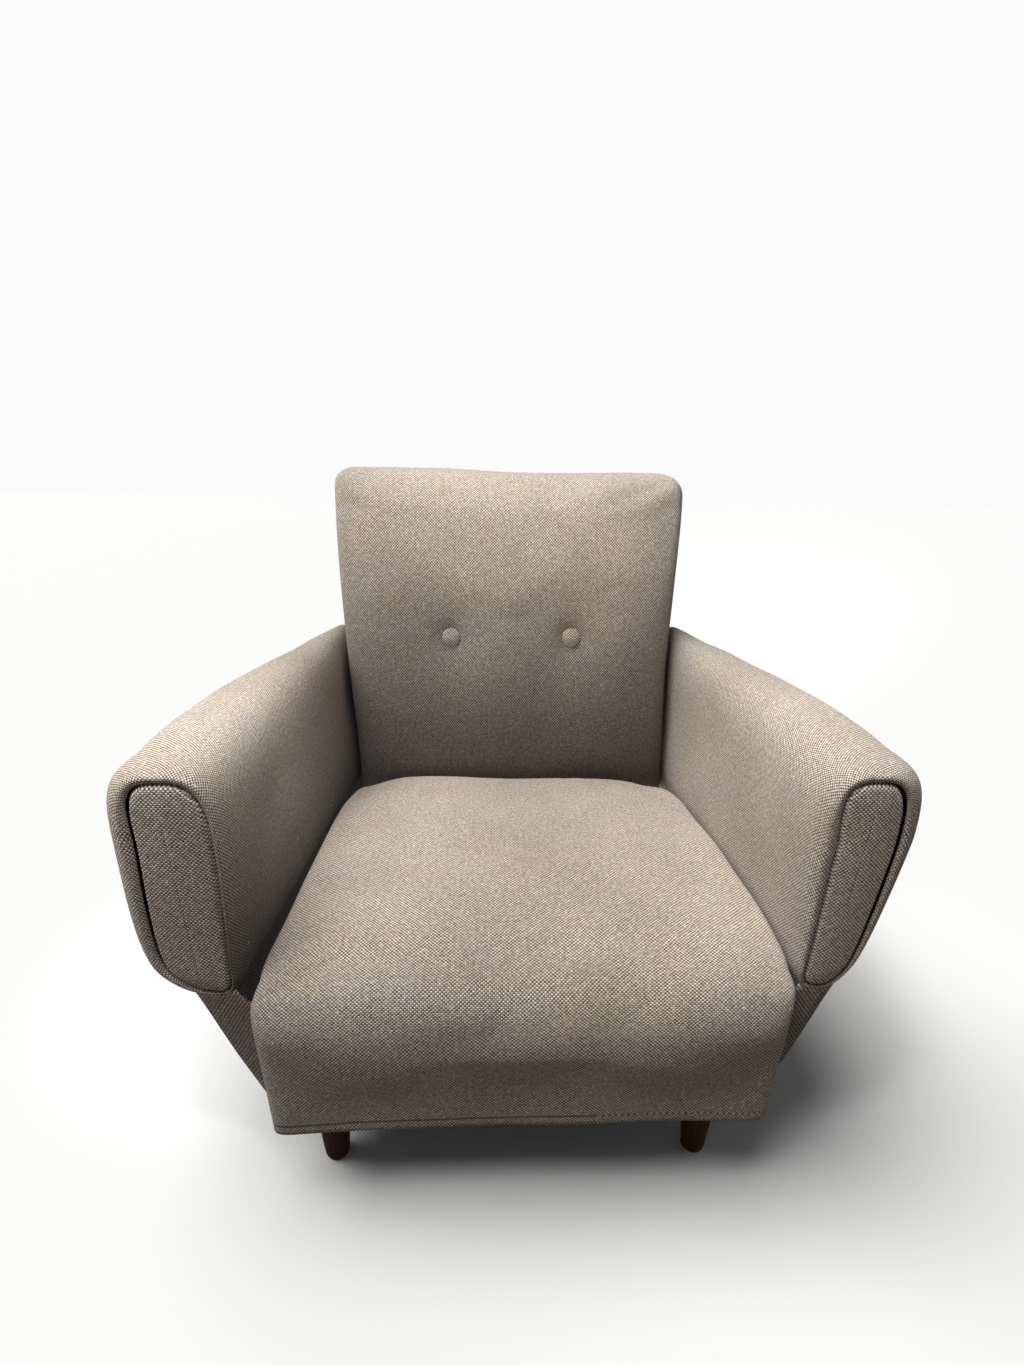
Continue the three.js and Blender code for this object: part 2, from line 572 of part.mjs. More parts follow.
{
  const outlineIn = (inwards, foot) => {
    const line = armLine(ARM_FRONT, inwards);
    line[0] = [line[0][0], foot];
    line[line.length - 1] = [line.at(-1)[0], foot];
    return line;
  };

  // Front board: the arm's outline in wood, with a neck that runs down outside the side rail
  const boardLine = outlineIn(COVER + FIT + ARM_STUFFING + 9, ARM_FOOT + 12);
  const boardRear = BOARD_FRONT + BOARD_THICKNESS;
  const neckInner = railHalf(BOARD_FRONT) + COVER + 2 * FIT + 0.6;
  const boardOutline = [
    ...boardLine.slice().reverse(),
    [boardLine[0][0] - 12, -54],
    [neckInner, RAIL_TOP - 5],
    [neckInner, RAIL_BOTTOM],
    [neckInner + 12, RAIL_BOTTOM],
    [armOuter(ARM_FRONT) - armUndercut(ARM_FRONT) - 8, ARM_FOOT - 4],
  ].reverse();
  const board = plateXZ(boardOutline, BOARD_FRONT, BOARD_THICKNESS);
  const boardRoom = plateXZ(boardOutline, BOARD_FRONT - FIT, BOARD_THICKNESS + 2 * FIT);

  // Two rails tie the board to the post. The covers are cut round their rear ends.
  const railStart = boardRear + FIT;
  const topRail = (grow) => {
    const level = [ARM_TOP_RAIL_LEVEL - ARM_RAIL_THICKNESS, ARM_TOP_RAIL_LEVEL];
    const middle = (boardLine[3][0] + armOuter(ARM_FRONT)) / 2 - 8;
    const end = ARM_REAR - 10;
    const [inner, outer] = [armInnerShoulder(end) + COVER + 2 * FIT, armOuter(end) - COVER - 3 * FIT];
    const far = { x: [inner, outer], y: end, z: level, lean: REAR_LEAN };
    const tenon = { ...far, x: [postOuter(ARM_TOP_RAIL_LEVEL) + FIT, outer - 2] };
    const rail = bar({ x: [middle - 18, middle + 18], y: railStart, z: level }, far, grow);
    return geometryOf(solid(rail).add(solid(bar({ ...tenon, y: end - 24 }, tenon, grow))));
  };
  const panelTop = ARM_FOOT - 0.5;
  const panelHead = (y) => armOuter(y) - armUndercut(y) - 1;
  const panelFace = (y, z) => lerp(panelFoot(y), panelHead(y), (z - UNDERSIDE) / (panelTop - UNDERSIDE));
  const lowerRail = (grow) => {
    const level = [ARM_FOOT - 30, ARM_FOOT - 4];
    const front = Math.min(
      armOuter(ARM_FRONT) - armUndercut(ARM_FRONT) - 12,
      panelFace(railStart, level[0]) - PANEL_THICKNESS - 2 * FIT,
    );
    const side = postOuter(ARM_FOOT) + FIT;
    return bar(
      { x: [front - 24, front], y: railStart, z: level },
      { x: [side, side + 16], y: ARM_REAR - 20, z: level, lean: REAR_LEAN },
      grow,
    );
  };

  // Facing: a padded panel in the arm's front, inside the rounded edge of the arm cover
  const seam = outlineIn(FACING_BORDER, ARM_FOOT + 3);
  const facingLine = outlineIn(FACING_BORDER + FIT, ARM_FOOT + 3 + FIT);
  const facing = plateXZ(facingLine.slice().reverse(), FACING_FRONT, BOARD_FRONT - FIT - FACING_FRONT);
  const facingHole = plateXZ(seam.slice().reverse(), ARM_FRONT - 9, 60);

  const cover = cut(armBody(0, 0), armBody(COVER, 20), facingHole, topRail(FIT), lowerRail(FIT));
  const padding = cut(
    armBody(COVER + FIT, 0),
    armBody(COVER + FIT, 20, ARM_STUFFING),
    facingHole,
    boardRoom,
    topRail(FIT),
    lowerRail(FIT),
  );

  // Side panel: flat tweed from the crease down to the side rail, returned round the board's front. Its
  // plan at each level is a narrow L, and the levels are joined.
  const returnInner = railHalf(ARM_FRONT) + COVER + 2 * FIT;
  const returnRear = PANEL_FRONT + COVER;
  const panelStations = [70, 110, 170, 240, 310, 380, 450, 520, 580, ARM_REAR - 2];
  const panelPlan = ([z, inner]) => {
    const at = (y, inwards) => {
      const lean = REAR_LEAN * smooth(y, ARM_LEAN_START, ARM_REAR);
      return new THREE.Vector3(panelFace(y, z) - inwards, y + lean * z, z);
    };
    return [
      new THREE.Vector3(inner, PANEL_FRONT, z),
      ...[PANEL_FRONT, ...panelStations].map((y) => at(y, 0)),
      ...[returnRear, ...panelStations].reverse().map((y) => at(y, PANEL_THICKNESS)),
      new THREE.Vector3(inner, returnRear, z),
    ];
  };
  const sidePanel = loft(
    [
      [UNDERSIDE, returnInner],
      [-80, returnInner],
      [-62, returnInner + 20],
      [panelTop, boardLine[0][0] - 16],
    ].map(panelPlan),
  );

  for (const side of SIDES) {
    add(`arm_front_board_${side}`, onSide(side, board), HARDWOOD);
    add(`arm_top_rail_${side}`, onSide(side, topRail(0)), HARDWOOD);
    add(`arm_lower_rail_${side}`, onSide(side, lowerRail(0)), HARDWOOD);
    add(`arm_padding_${side}`, onSide(side, padding), FIBRE);
    add(`arm_cover_${side}`, onSide(side, cover), TWEED);
    add(`arm_facing_${side}`, onSide(side, facing), TWEED);
    add(`side_panel_${side}`, onSide(side, sidePanel), TWEED);
  }

  // Back: canvas across the posts, a stuffed pad, a cover pulled over front, top and sides, and a
  // flat panel behind. Two buttons are drawn into the pad.

  const buttonX = BUTTON_SPACING / 2;
  const topRadius = 20;
  const frontFace = (x, z) => {
    const side = Math.min(Math.abs(x) / backHalf(z), 1);
    const fullness = lerp(34, 14, smooth(z, 40, BACK_RISE - 50)) * smooth(z, BACK_FOOT, 30);
    const swell = fullness * (1 - side ** 2) ** 0.7;
    const dimple = [-buttonX, buttonX].reduce(
      (sum, bx) => sum + Math.exp(-((x - bx) ** 2 + (z - BUTTON_HEIGHT) ** 2) / (2 * DIMPLE_WIDTH ** 2)),
      0,
    );
    return BACK_FRONT_DISTANCE + FRONT_LEAN * z - swell + DIMPLE_DEPTH * dimple;
  };

  // A level slice of the back at z, moved inwards, with its rear moved back by a distance.
  function slice(z, inwards, rearwards, drawnIn) {
    const half = backHalf(z) - inwards - drawnIn;
    const radius = 20;
    const shares = [1, 0.86, 0.7, 0.55, 0.2, 0];
    const xs = [...shares.map((s) => s * (half - radius))];
    xs[3] = buttonX;
    const front = xs.map((x) => [x, frontFace(x, z) + inwards + drawnIn]);
    const cornerY = front[0][1];
    const halfRing = [
      [half, rearFace(z) + rearwards - Math.min(drawnIn, 10)],
      [half, cornerY + radius],
      [half - radius * 0.29, cornerY + radius * 0.29],
      ...front,
    ];
    const other = halfRing.slice(0, -1).reverse().map(([x, y]) => [-x, y]);
    return [...halfRing, ...other].map(([x, y]) => new THREE.Vector3(x, y, z));
  }

  const topRound = [
    [topRadius, 0],
    [topRadius * 0.5, 2.7],
    [topRadius * 0.18, 8.5],
    [0, topRadius],
  ];
  function backBody(inwards, rearwards, foot) {
    const levels = [0, 60, 115, 160, 187, BUTTON_HEIGHT, 231, 258, 305, 360, 410].map((z) => [
      z === BUTTON_HEIGHT ? z : Math.min(z, BACK_RISE - topRadius - 4),
      0,
    ]);
    const crown = topRound.map(([below, drawnIn]) => [BACK_RISE - below, drawnIn]);
    return loft(
      [[foot, 0], ...levels, ...crown].map(([z, drawnIn]) => {
        const fall = inwards * smooth(z, BACK_RISE - 60, BACK_RISE);
        return slice(z, inwards, rearwards, drawnIn).map((p) => p.setZ(p.z - fall));
      }),
    );
  }

  // A block that fills everything behind a leaning plane.
  const behind = (plane) =>
    bar(
      { x: [-500, 500], y: plane, z: [BACK_FOOT - 60, BACK_RISE + 60], lean: REAR_LEAN },
      { x: [-500, 500], y: plane + 300, z: [BACK_FOOT - 60, BACK_RISE + 60], lean: REAR_LEAN },
    );

  const canvasThickness = 1.5;
  const canvasFace = postFront(0) - FIT - canvasThickness;
  const canvasHalf = postOuter(0) - 2;
  const canvas = { x: [-canvasHalf, canvasHalf], z: [BACK_FOOT, BACK_RISE - 30], lean: REAR_LEAN, y: canvasFace };
  add("back_canvas", bar(canvas, { ...canvas, y: canvasFace + canvasThickness }), JUTE);

  const railEnds = [topRail(FIT), lowerRail(FIT)].flatMap((tool) => [tool, mirrored(tool)]);
  add(
    "back_padding",
    cut(backBody(COVER + FIT, 0, BACK_FOOT), behind(canvasFace - FIT), ...railEnds),
    FIBRE,
  );
  add(
    "back_cover",
    cut(backBody(0, -FIT, BACK_FOOT), backBody(COVER, 9, BACK_FOOT - 20), ...railEnds),
    TWEED,
  );

  // Outside back: the flat rear panel, from the underside up to the top edge
  const panelOutline = [
    [panelFoot(ARM_REAR), UNDERSIDE],
    [BACK_FOOT_WIDTH / 2 + 22, ARM_FOOT],
    [BACK_FOOT_WIDTH / 2 + 22, 100],
    [backHalf(220), 215],
    [backHalf(330), 330],
    [backHalf(BACK_RISE) - 1, BACK_RISE - 24],
    [backHalf(BACK_RISE) - 12, BACK_RISE - 5],
  ];
  const panelRing = [...panelOutline, ...panelOutline.slice().reverse().map(([x, z]) => [-x, z])];
  add(
    "outside_back_panel",
    loft([0, PANEL_THICKNESS].map((t) => panelRing.map(([x, z]) => new THREE.Vector3(x, rearFace(z) + t, z)))),
    TWEED,
  );

  // Buttons: covered domes on a short shank, square to the leaning face
  const shank = 2.4;
  const button = new THREE.LatheGeometry(
    [
      new THREE.Vector2(0, 0),
      new THREE.Vector2(2.5, 0),
      new THREE.Vector2(2.5, shank),
      new THREE.Vector2(BUTTON_RADIUS - 1.5, shank),
      new THREE.Vector2(BUTTON_RADIUS, shank + 2),
      new THREE.Vector2(BUTTON_RADIUS * 0.8, shank + 5),
      new THREE.Vector2(BUTTON_RADIUS * 0.42, shank + 7),
      new THREE.Vector2(0, shank + 7.8),
    ],
    16,
  ).rotateX(Math.PI - Math.atan(FRONT_LEAN));
  for (const side of SIDES) {
    const x = side === "right" ? buttonX : -buttonX;
    const mesh = add(`back_button_${side}`, button.clone(), TWEED);
    mesh.position.set(x, frontFace(x, BUTTON_HEIGHT) - 2 * FIT, BUTTON_HEIGHT);
  }
}

// The chair stands on z = 0, centred over the origin.
const box = new THREE.Box3().setFromObject(chair, true);
chair.position.set(0, -(box.min.y + box.max.y) / 2, -box.min.z);

const armchair = new THREE.Group();
armchair.add(chair);
export default armchair;
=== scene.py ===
import math

import bpy
import numpy as np
from mathutils import Matrix, Vector


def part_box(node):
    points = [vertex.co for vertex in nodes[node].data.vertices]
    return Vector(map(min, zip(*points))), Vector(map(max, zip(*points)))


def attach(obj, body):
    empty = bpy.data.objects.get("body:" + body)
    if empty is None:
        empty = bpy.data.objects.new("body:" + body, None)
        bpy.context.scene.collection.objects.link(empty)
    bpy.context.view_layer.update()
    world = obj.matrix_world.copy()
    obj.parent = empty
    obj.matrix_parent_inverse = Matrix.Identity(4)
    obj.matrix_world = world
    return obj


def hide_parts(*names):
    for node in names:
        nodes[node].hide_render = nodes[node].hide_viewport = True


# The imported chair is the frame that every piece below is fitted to.

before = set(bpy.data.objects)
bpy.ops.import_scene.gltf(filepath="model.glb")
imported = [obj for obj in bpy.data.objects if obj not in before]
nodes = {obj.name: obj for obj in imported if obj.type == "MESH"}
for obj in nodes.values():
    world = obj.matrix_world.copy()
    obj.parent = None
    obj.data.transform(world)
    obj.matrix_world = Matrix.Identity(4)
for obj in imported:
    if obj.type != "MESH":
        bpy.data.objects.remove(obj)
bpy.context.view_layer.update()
bpy.context.scene.frame_set(1)


# Frame timber: rails, posts, arm boards and corner blocks in planed beech, left unfinished under the
# covers. Planed wood gives broad soft grain with fine dark rays, dulled by age.

BEECH_LIGHT = "#b08d63"
BEECH_DARK = "#8a6743"
GRAIN_WIDTH = 0.004
GRAIN_STRETCH = 12


def colour(code):
    """An sRGB hex colour as the linear red, green, blue and alpha that a shader socket takes."""
    parts = np.array([int(code[i : i + 2], 16) for i in (1, 3, 5)]) / 255
    linear = np.where(parts <= 0.04045, parts / 12.92, ((parts + 0.055) / 1.055) ** 2.4)
    return (*linear.tolist(), 1.0)


def fill(made, inputs):
    """Fills a node's inputs, each from a value, a socket, or another node's first output in use."""
    for socket, value in inputs.items():
        if isinstance(value, bpy.types.Node):
            value = next(output for output in value.outputs if output.enabled)
        if isinstance(value, bpy.types.NodeSocket):
            made.id_data.links.new(value, made.inputs[socket])
        else:
            made.inputs[socket].default_value = value


def node(tree, kind, inputs=None, stops=(), **settings):
    """Adds a shader node of a kind, with its settings and inputs, and for a colour ramp its stops, each
    a place along the ramp and a colour."""
    made = tree.nodes.new("ShaderNode" + kind)
    for name, value in settings.items():
        setattr(made, name, value)
    fill(made, inputs or {})
    for count, (at, shade) in enumerate(stops):
        stop = made.color_ramp.elements[count] if count < 2 else made.color_ramp.elements.new(at)
        stop.position = at
        stop.color = colour(shade)
    return made


def new_material(name, roughness, **fixed):
    """A material with a Principled shader, whose constants are set on its own sockets."""
    material = bpy.data.materials.new(name)
    material.use_nodes = True
    shader = material.node_tree.nodes["Principled BSDF"]
    shader.inputs["Roughness"].default_value = roughness
    for socket, value in fixed.items():
        shader.inputs[socket.replace("_", " ")].default_value = value
    return material, material.node_tree, shader


def paint(material, *names):
    """Gives the CAD nodes of these names, or that start with them, the material."""
    for name, made in nodes.items():
        if name.startswith(names):
            made.data.materials.clear()
            made.data.materials.append(material)


def grained_wood(name, light, dark, roughness, along, **fixed):
    """Wood whose grain runs along one axis: noise stretched twelve times along it, mixed with fine rays."""
    material, tree, shader = new_material(name, roughness, **fixed)
    place = node(tree, "TexCoord").outputs["Object"]
    stretch = [1.0 / GRAIN_WIDTH] * 3
    stretch["xyz".index(along)] /= GRAIN_STRETCH
    mapped = node(tree, "Mapping", {"Vector": place, "Scale": stretch})
    grain = node(tree, "TexNoise", {"Vector": mapped, "Scale": 0.6, "Detail": 6.0, "Distortion": 0.4})
    rays = node(tree, "TexNoise", {"Vector": mapped, "Scale": 3.0, "Detail": 2.0})
    both = node(tree, "Math", {0: grain, 1: rays}, operation="MULTIPLY")
    shades = node(tree, "ValToRGB", {"Fac": both}, stops=((0.15, dark), (0.42, light)))
    bump = node(tree, "Bump", {"Height": grain, "Strength": 0.25, "Distance": 0.0004})
    fill(shader, {"Base Color": shades, "Normal": bump})
    return material


cross_beech = grained_wood("planed beech, grain across", BEECH_LIGHT, BEECH_DARK, 0.7, "x")
long_beech = grained_wood("planed beech, grain lengthwise", BEECH_LIGHT, BEECH_DARK, 0.7, "y")
upright_beech = grained_wood("planed beech, grain upright", BEECH_LIGHT, BEECH_DARK, 0.7, "z")
paint(cross_beech, "seat_rail_front", "seat_rail_rear", "back_top_rail", "back_lower_rail", "corner_block")
paint(long_beech, "seat_rail_left", "seat_rail_right", "arm_top_rail", "arm_lower_rail")
paint(upright_beech, "back_post", "arm_front_board")


# Legs: four turned legs in beech, stained walnut brown and varnished, each on a hanger bolt. The
# varnish has dulled with age.

walnut_name = "beech stained walnut and varnished"
varnish = {"Coat_Weight": 0.25, "Coat_Roughness": 0.35}
walnut_stain = grained_wood(walnut_name, "#4a2d1b", "#26150c", 0.42, "z", **varnish)
paint(walnut_stain, "leg_front", "leg_rear")


# Bolts and springs: mild steel, dull grey with light rust from years under the seat. Drawn wire is
# smooth, and the rust gives it brown spots about a centimetre apart.

drawn_steel, steel_tree, steel_shader = new_material("drawn mild steel, lightly rusted", 0.45, Metallic=0.85)
steel_place = node(steel_tree, "TexCoord").outputs["Object"]
rust = node(steel_tree, "TexNoise", {"Vector": steel_place, "Scale": 90.0, "Detail": 5.0})
rusted = node(steel_tree, "ValToRGB", {"Fac": rust}, stops=((0.42, "#8b8780"), (0.66, "#5d3a24")))
fill(steel_shader, {"Base Color": rusted})
paint(drawn_steel, "leg_bolt", "seat_spring")


# Webbing, hessian and back canvas: jute, woven tight in the webbing and open in the hessian. Jute is
# a dry golden brown with thick and thin yarns, drawn here as bands about six yarns wide.

JUTE_YARN = 0.0025
BAND_SCALE = 1 / (2 * math.pi * JUTE_YARN / 0.3183)


def woven_jute(name, light, dark):
    """Two sets of crossed bands: two wave patterns at right angles, multiplied, with noise added for
    thick and thin places."""
    material, tree, shader = new_material(name, 0.95)
    place = node(tree, "TexCoord").outputs["Object"]
    waves = {"Vector": place, "Scale": BAND_SCALE, "Distortion": 0.6, "Detail": 2.0}
    across, along = (node(tree, "TexWave", waves, bands_direction=way).outputs["Fac"] for way in ("X", "Y"))
    yarns = node(tree, "Math", {0: across, 1: along}, operation="MULTIPLY")
    slub = node(tree, "TexNoise", {"Vector": place, "Scale": 140.0, "Detail": 3.0})
    both = node(tree, "Math", {0: yarns, 1: slub}, operation="ADD")
    shades = node(tree, "ValToRGB", {"Fac": both}, stops=((0.3, dark), (1.0, light)))
    bump = node(tree, "Bump", {"Height": both, "Strength": 0.5, "Distance": 0.0006})
    fill(shader, {"Base Color": shades, "Normal": bump})
    return material


paint(woven_jute("jute webbing", "#b3966a", "#6d5434"), "seat_web")
paint(woven_jute("jute hessian", "#a68a5e", "#5f4a2f"), "seat_hessian", "back_canvas")


# Stuffing: curled fibre and horsehair under the covers, a brown tangle that shows only through gaps.
# Its curls lie about four millimetres apart.

curled_fibre, fibre_tree, fibre_shader = new_material("curled fibre and horsehair", 1.0)
fibre_place = node(fibre_tree, "TexCoord").outputs["Object"]
curls = {"Vector": fibre_place, "Scale": 260.0, "Detail": 6.0, "Distortion": 3.0}
tangle = node(fibre_tree, "TexNoise", curls)
fibres = node(fibre_tree, "ValToRGB", {"Fac": tangle}, stops=((0.35, "#2b2118"), (0.65, "#7a6750")))
fibre_bump = node(fibre_tree, "Bump", {"Height": tangle, "Strength": 0.8, "Distance": 0.002})
fill(fibre_shader, {"Base Color": fibres, "Normal": fibre_bump})
paint(curled_fibre, "seat_padding", "back_padding", "arm_padding")


# Dust cover: thin black cotton lining tacked under the frame, faded and dusty. Its plain weave is a
# fine chequer, drawn coarser than the real one so that it shows.

LINING_YARN = 0.0012
black_lining, lining_tree, lining_shader = new_material("black cotton lining, dusty", 0.95)
lining_place = node(lining_tree, "TexCoord").outputs["Object"]
dust = node(lining_tree, "TexNoise", {"Vector": lining_place, "Scale": 14.0, "Detail": 6.0})
dusty = node(lining_tree, "ValToRGB", {"Fac": dust}, stops=((0.4, "#22201e"), (0.75, "#4a4540")))
threads = node(lining_tree, "TexChecker", {"Vector": lining_place, "Scale": 1 / LINING_YARN}).outputs["Fac"]
lining_bump = node(lining_tree, "Bump", {"Height": threads, "Strength": 0.3, "Distance": 0.0003})
fill(lining_shader, {"Base Color": dusty, "Normal": lining_bump})
paint(black_lining, "dust_cover")


# Tweed: the wool hopsack of every cover, woven of thick yarns one over one, so that light warp and
# darker weft show as a fine chequer of domed cells. Flecks of cream, brown and violet grey are spun
# into the yarn, fibres stand off it as a soft fuzz, and years of use have greyed it in patches.

YARN = 0.0021
YARN_SWAY = 0.004
WARP = "#fff6e8"
WEFT = "#584d42"
FLECKS = (
    (0.0, "#4d4036"),
    (0.12, "#8f7a64"),
    (0.3, "#a99a8a"),
    (0.52, "#beb3a6"),
    (0.7, "#98909c"),
    (0.79, "#d8ccbb"),
    (0.9, "#f6eddf"),
)
FLECK_SHARE = 0.26
DOME_FALL = 3.2
# How far painted shade darkens the cloth where a piece carries it in full.
PAINTED_SHADE_DEPTH = 0.7


def tweed(name):
    """Cells of one yarn over another, alternating as on a chequerboard. Each cell is a dome, highest in
    its middle, and takes its colour from the yarn that is on top and a random fleck of its own. The
    scale of each noise is the number of its lumps in a metre."""
    material, tree, shader = new_material(name, 0.96, Sheen_Weight=0.1, Sheen_Roughness=0.5)
    place = node(tree, "TexCoord").outputs["Object"]
    flat = node(tree, "UVMap", uv_map="weave")
    sway = node(tree, "TexNoise", {"Vector": place, "Scale": 22.0, "Detail": 2.0}).outputs["Color"]
    centred = node(tree, "VectorMath", {0: sway, 1: (0.5, 0.5, 0.5)}, operation="SUBTRACT")
    wander = node(tree, "VectorMath", {0: centred, "Scale": YARN_SWAY}, operation="SCALE")
    swayed = node(tree, "VectorMath", {0: flat, 1: wander}, operation="ADD")
    cells = node(tree, "VectorMath", {0: swayed, "Scale": 1 / YARN}, operation="SCALE")
    cell = node(tree, "VectorMath", {0: cells}, operation="FLOOR")
    within = node(tree, "VectorMath", {0: cells}, operation="FRACTION")
    which = node(tree, "SeparateXYZ", {"Vector": cell}).outputs
    total = node(tree, "Math", {0: which["X"], 1: which["Y"]}, operation="ADD")
    warp_up = node(tree, "Math", {0: total, 1: 2.0}, operation="FLOORED_MODULO")

    # The dome: one minus a multiple of the squared distance from the cell's middle, for each way across
    # the cell, and the two multiplied.
    inside = node(tree, "SeparateXYZ", {"Vector": within}).outputs
    arches = []
    for axis in ("X", "Y"):
        offset = node(tree, "Math", {0: inside[axis], 1: 0.5}, operation="SUBTRACT")
        square = node(tree, "Math", {0: offset, 1: 2.0}, operation="POWER")
        arch = {0: square, 1: -DOME_FALL, 2: 1.0}
        arches.append(node(tree, "Math", arch, operation="MULTIPLY_ADD", use_clamp=True))
    dome = node(tree, "Math", {0: arches[0], 1: arches[1]}, operation="MULTIPLY")

    yarn = node(tree, "Mix", {"Factor": warp_up, "A": colour(WEFT), "B": colour(WARP)}, data_type="RGBA")
    chance = node(tree, "TexWhiteNoise", {"Vector": cell}, noise_dimensions="2D")
    fleck = node(tree, "ValToRGB", {"Fac": chance}, FLECKS)
    fleck.color_ramp.interpolation = "CONSTANT"
    flecked = node(tree, "Mix", {"Factor": FLECK_SHARE, "A": yarn, "B": fleck}, data_type="RGBA")

    # Gaps between yarns are dark, worn and soiled patches change the tone by a tenth over centimetres,
    #     thick slubs lie every few millimetres, and painted shade darkens the cloth where a piece says so.
    gap = node(tree, "MapRange", {"Value": dome, "From Max": 0.6, "To Min": 0.45})
    tones = []
    for pattern, scale, detail, low, high in ((place, 7.0, 4.0, 0.88, 1.1), (flat, 240.0, 1.0, 0.78, 1.22)):
        noise = node(tree, "TexNoise", {"Vector": pattern, "Scale": scale, "Detail": detail})
        span = {"Value": noise, "From Min": 0.3, "From Max": 0.7, "To Min": low, "To Max": high}
        tones.append(node(tree, "MapRange", span))
    uneven = node(tree, "Math", {0: tones[0], 1: tones[1]}, operation="MULTIPLY")
    rubbed = node(tree, "Math", {0: gap, 1: uneven}, operation="MULTIPLY")
    painted_shade = node(tree, "Attribute", attribute_name="painted_shade").outputs["Fac"]
    unshaded_share = node(tree, "Math", {0: painted_shade, 1: -PAINTED_SHADE_DEPTH, 2: 1.0}, operation="MULTIPLY_ADD")
    shade = node(tree, "Math", {0: rubbed, 1: unshaded_share}, operation="MULTIPLY")
    shaded = node(tree, "VectorMath", {0: flecked, "Scale": shade}, operation="SCALE")
    hue = node(tree, "TexNoise", {"Vector": place, "Scale": 16.0, "Detail": 1.0})
    tints = {"Factor": hue, "A": colour("#fff6e6"), "B": colour("#f6f6ff")}
    tint = node(tree, "Mix", tints, data_type="RGBA")
    both = {"Factor": 1.0, "A": shaded, "B": tint}
    tinted = node(tree, "Mix", both, data_type="RGBA", blend_type="MULTIPLY")

    # Lint: pale specks a millimetre or two across, a few on each hand's breadth.
    specks = node(tree, "TexVoronoi", {"Vector": place, "Scale": 75.0}).outputs
    rare = node(tree, "SeparateXYZ", {"Vector": specks["Color"]})
    near = node(tree, "Math", {0: specks["Distance"], 1: 0.09}, operation="LESS_THAN")
    few = node(tree, "Math", {0: rare, 1: 0.93}, operation="GREATER_THAN")
    lint = node(tree, "Math", {0: near, 1: few}, operation="MULTIPLY")
    linted = node(tree, "Mix", {"Factor": lint, "A": tinted, "B": colour("#e9e4da")}, data_type="RGBA")

    fuzz = node(tree, "TexNoise", {"Vector": place, "Scale": 900.0, "Detail": 2.0})
    height = node(tree, "Math", {0: fuzz, 1: 0.35, 2: dome}, operation="MULTIPLY_ADD")
    bump = node(tree, "Bump", {"Height": height, "Strength": 0.8, "Distance": 0.0008})
    fill(shader, {"Base Color": linted, "Normal": bump})
    return material


hopsack = tweed("wool hopsack tweed")


# Seat: one piece of tweed over the sprung and stuffed pad, pulled over the rounded front edge and down
# as an apron to the underside. The middle stands proud, and the pad has shifted towards the right
# arm, so that its right side swells and a gap stays on the left.

SEAT_WIDTH = 0.55
SEAT_CUT_HALF = 0.28
SEAT_CROWN = 0.024
SEAT_DEPTH = 0.505
APRON_DROP = 0.190
SIDE_DROP = 0.121
APRON_DEPTH = 0.042
APRON_SLOPE = 0.011
FRONT_ROLL = 0.050
CELL = 0.0078
CLOTH_THICKNESS = 0.0025
STUFFING_PRESSURE = 4.0
STUFFING_STEPS = 20
STUFFING_REACH = 0.006

# The upholsterer measures from the seat's front edge, so every cover is shaped in that edge's own
# coordinates, x across, y back and z up, and is set into the frame as its mesh is made.
seat_low, seat_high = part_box("seat_cover")
edge_origin = np.array([0.0, seat_low.y, seat_high.z - SEAT_CROWN])


def smooth(value, low, high):
    """A step from 0 to 1 between low and high, with level ends."""
    t = np.clip((value - low) / (high - low), 0, 1)
    return t * t * (3 - 2 * t)


def mix(first, last, share):
    """The value at a share of the way from first to last."""
    return first + (last - first) * share


def quads(grid):
    """The four-cornered faces of a two-way grid of vertex numbers, as rows of four."""
    return np.stack([grid[:-1, :-1], grid[1:, :-1], grid[1:, 1:], grid[:-1, 1:]], -1).reshape(-1, 4)


def numbered(points):
    """The vertex numbers of a grid of points."""
    return np.arange(points[..., 0].size).reshape(points.shape[:2])


def box_net(size, cell, sides):
    """A grid on the named sides of a box. Returns each vertex's place from 0 to 1 along the three axes,
    the faces, and for each face the name of its side. Faces are wound to look outwards."""
    steps = [max(2, round(length / cell)) for length in size]
    lattice = np.indices([n + 1 for n in steps])
    number = np.arange(lattice[0].size).reshape(lattice[0].shape)
    walls = {
        "left": number[0, :, :].T,
        "right": number[-1, :, :],
        "front": number[:, 0, :],
        "rear": number[:, -1, :].T,
        "top": number[:, :, -1],
    }
    faces = [quads(walls[side]) for side in sides]
    labels = np.repeat(sides, [len(f) for f in faces])
    faces = np.concatenate(faces)
    kept, faces = np.unique(faces, return_inverse=True)
    share = np.stack([(axis / n).ravel()[kept] for axis, n in zip(lattice, steps)], -1)
    return share, faces.reshape(-1, 4), labels


def round_edge(u, v, radius):
    """Turns the square edge between two faces, at distances u and v from them, into a quarter circle:
    a point less than a radius from both is moved in by the square root rule of a disc in a square."""
    a = np.clip(1 - u / radius, 0, 1)
    b = np.clip(1 - v / radius, 0, 1)
    return u + radius * a * (1 - np.sqrt(1 - b**2 / 2)), v + radius * b * (1 - np.sqrt(1 - a**2 / 2))


def soften(points, faces, passes, strength):
    """Rounds hard edges as stuffing does: each pass moves every point towards the mean of its
    neighbours by its own strength."""
    pairs = np.concatenate([faces[:, [i, (i + 1) % 4]] for i in range(4)])
    pairs = np.concatenate([pairs, pairs[:, ::-1]])
    count = np.bincount(pairs[:, 0], minlength=len(points))[:, None]
    for _ in range(passes):
        total = np.stack(
            [np.bincount(pairs[:, 0], points[pairs[:, 1], axis], len(points)) for axis in range(3)], -1
        )
        points = points + strength[:, None] * (total / count - points)
    return points


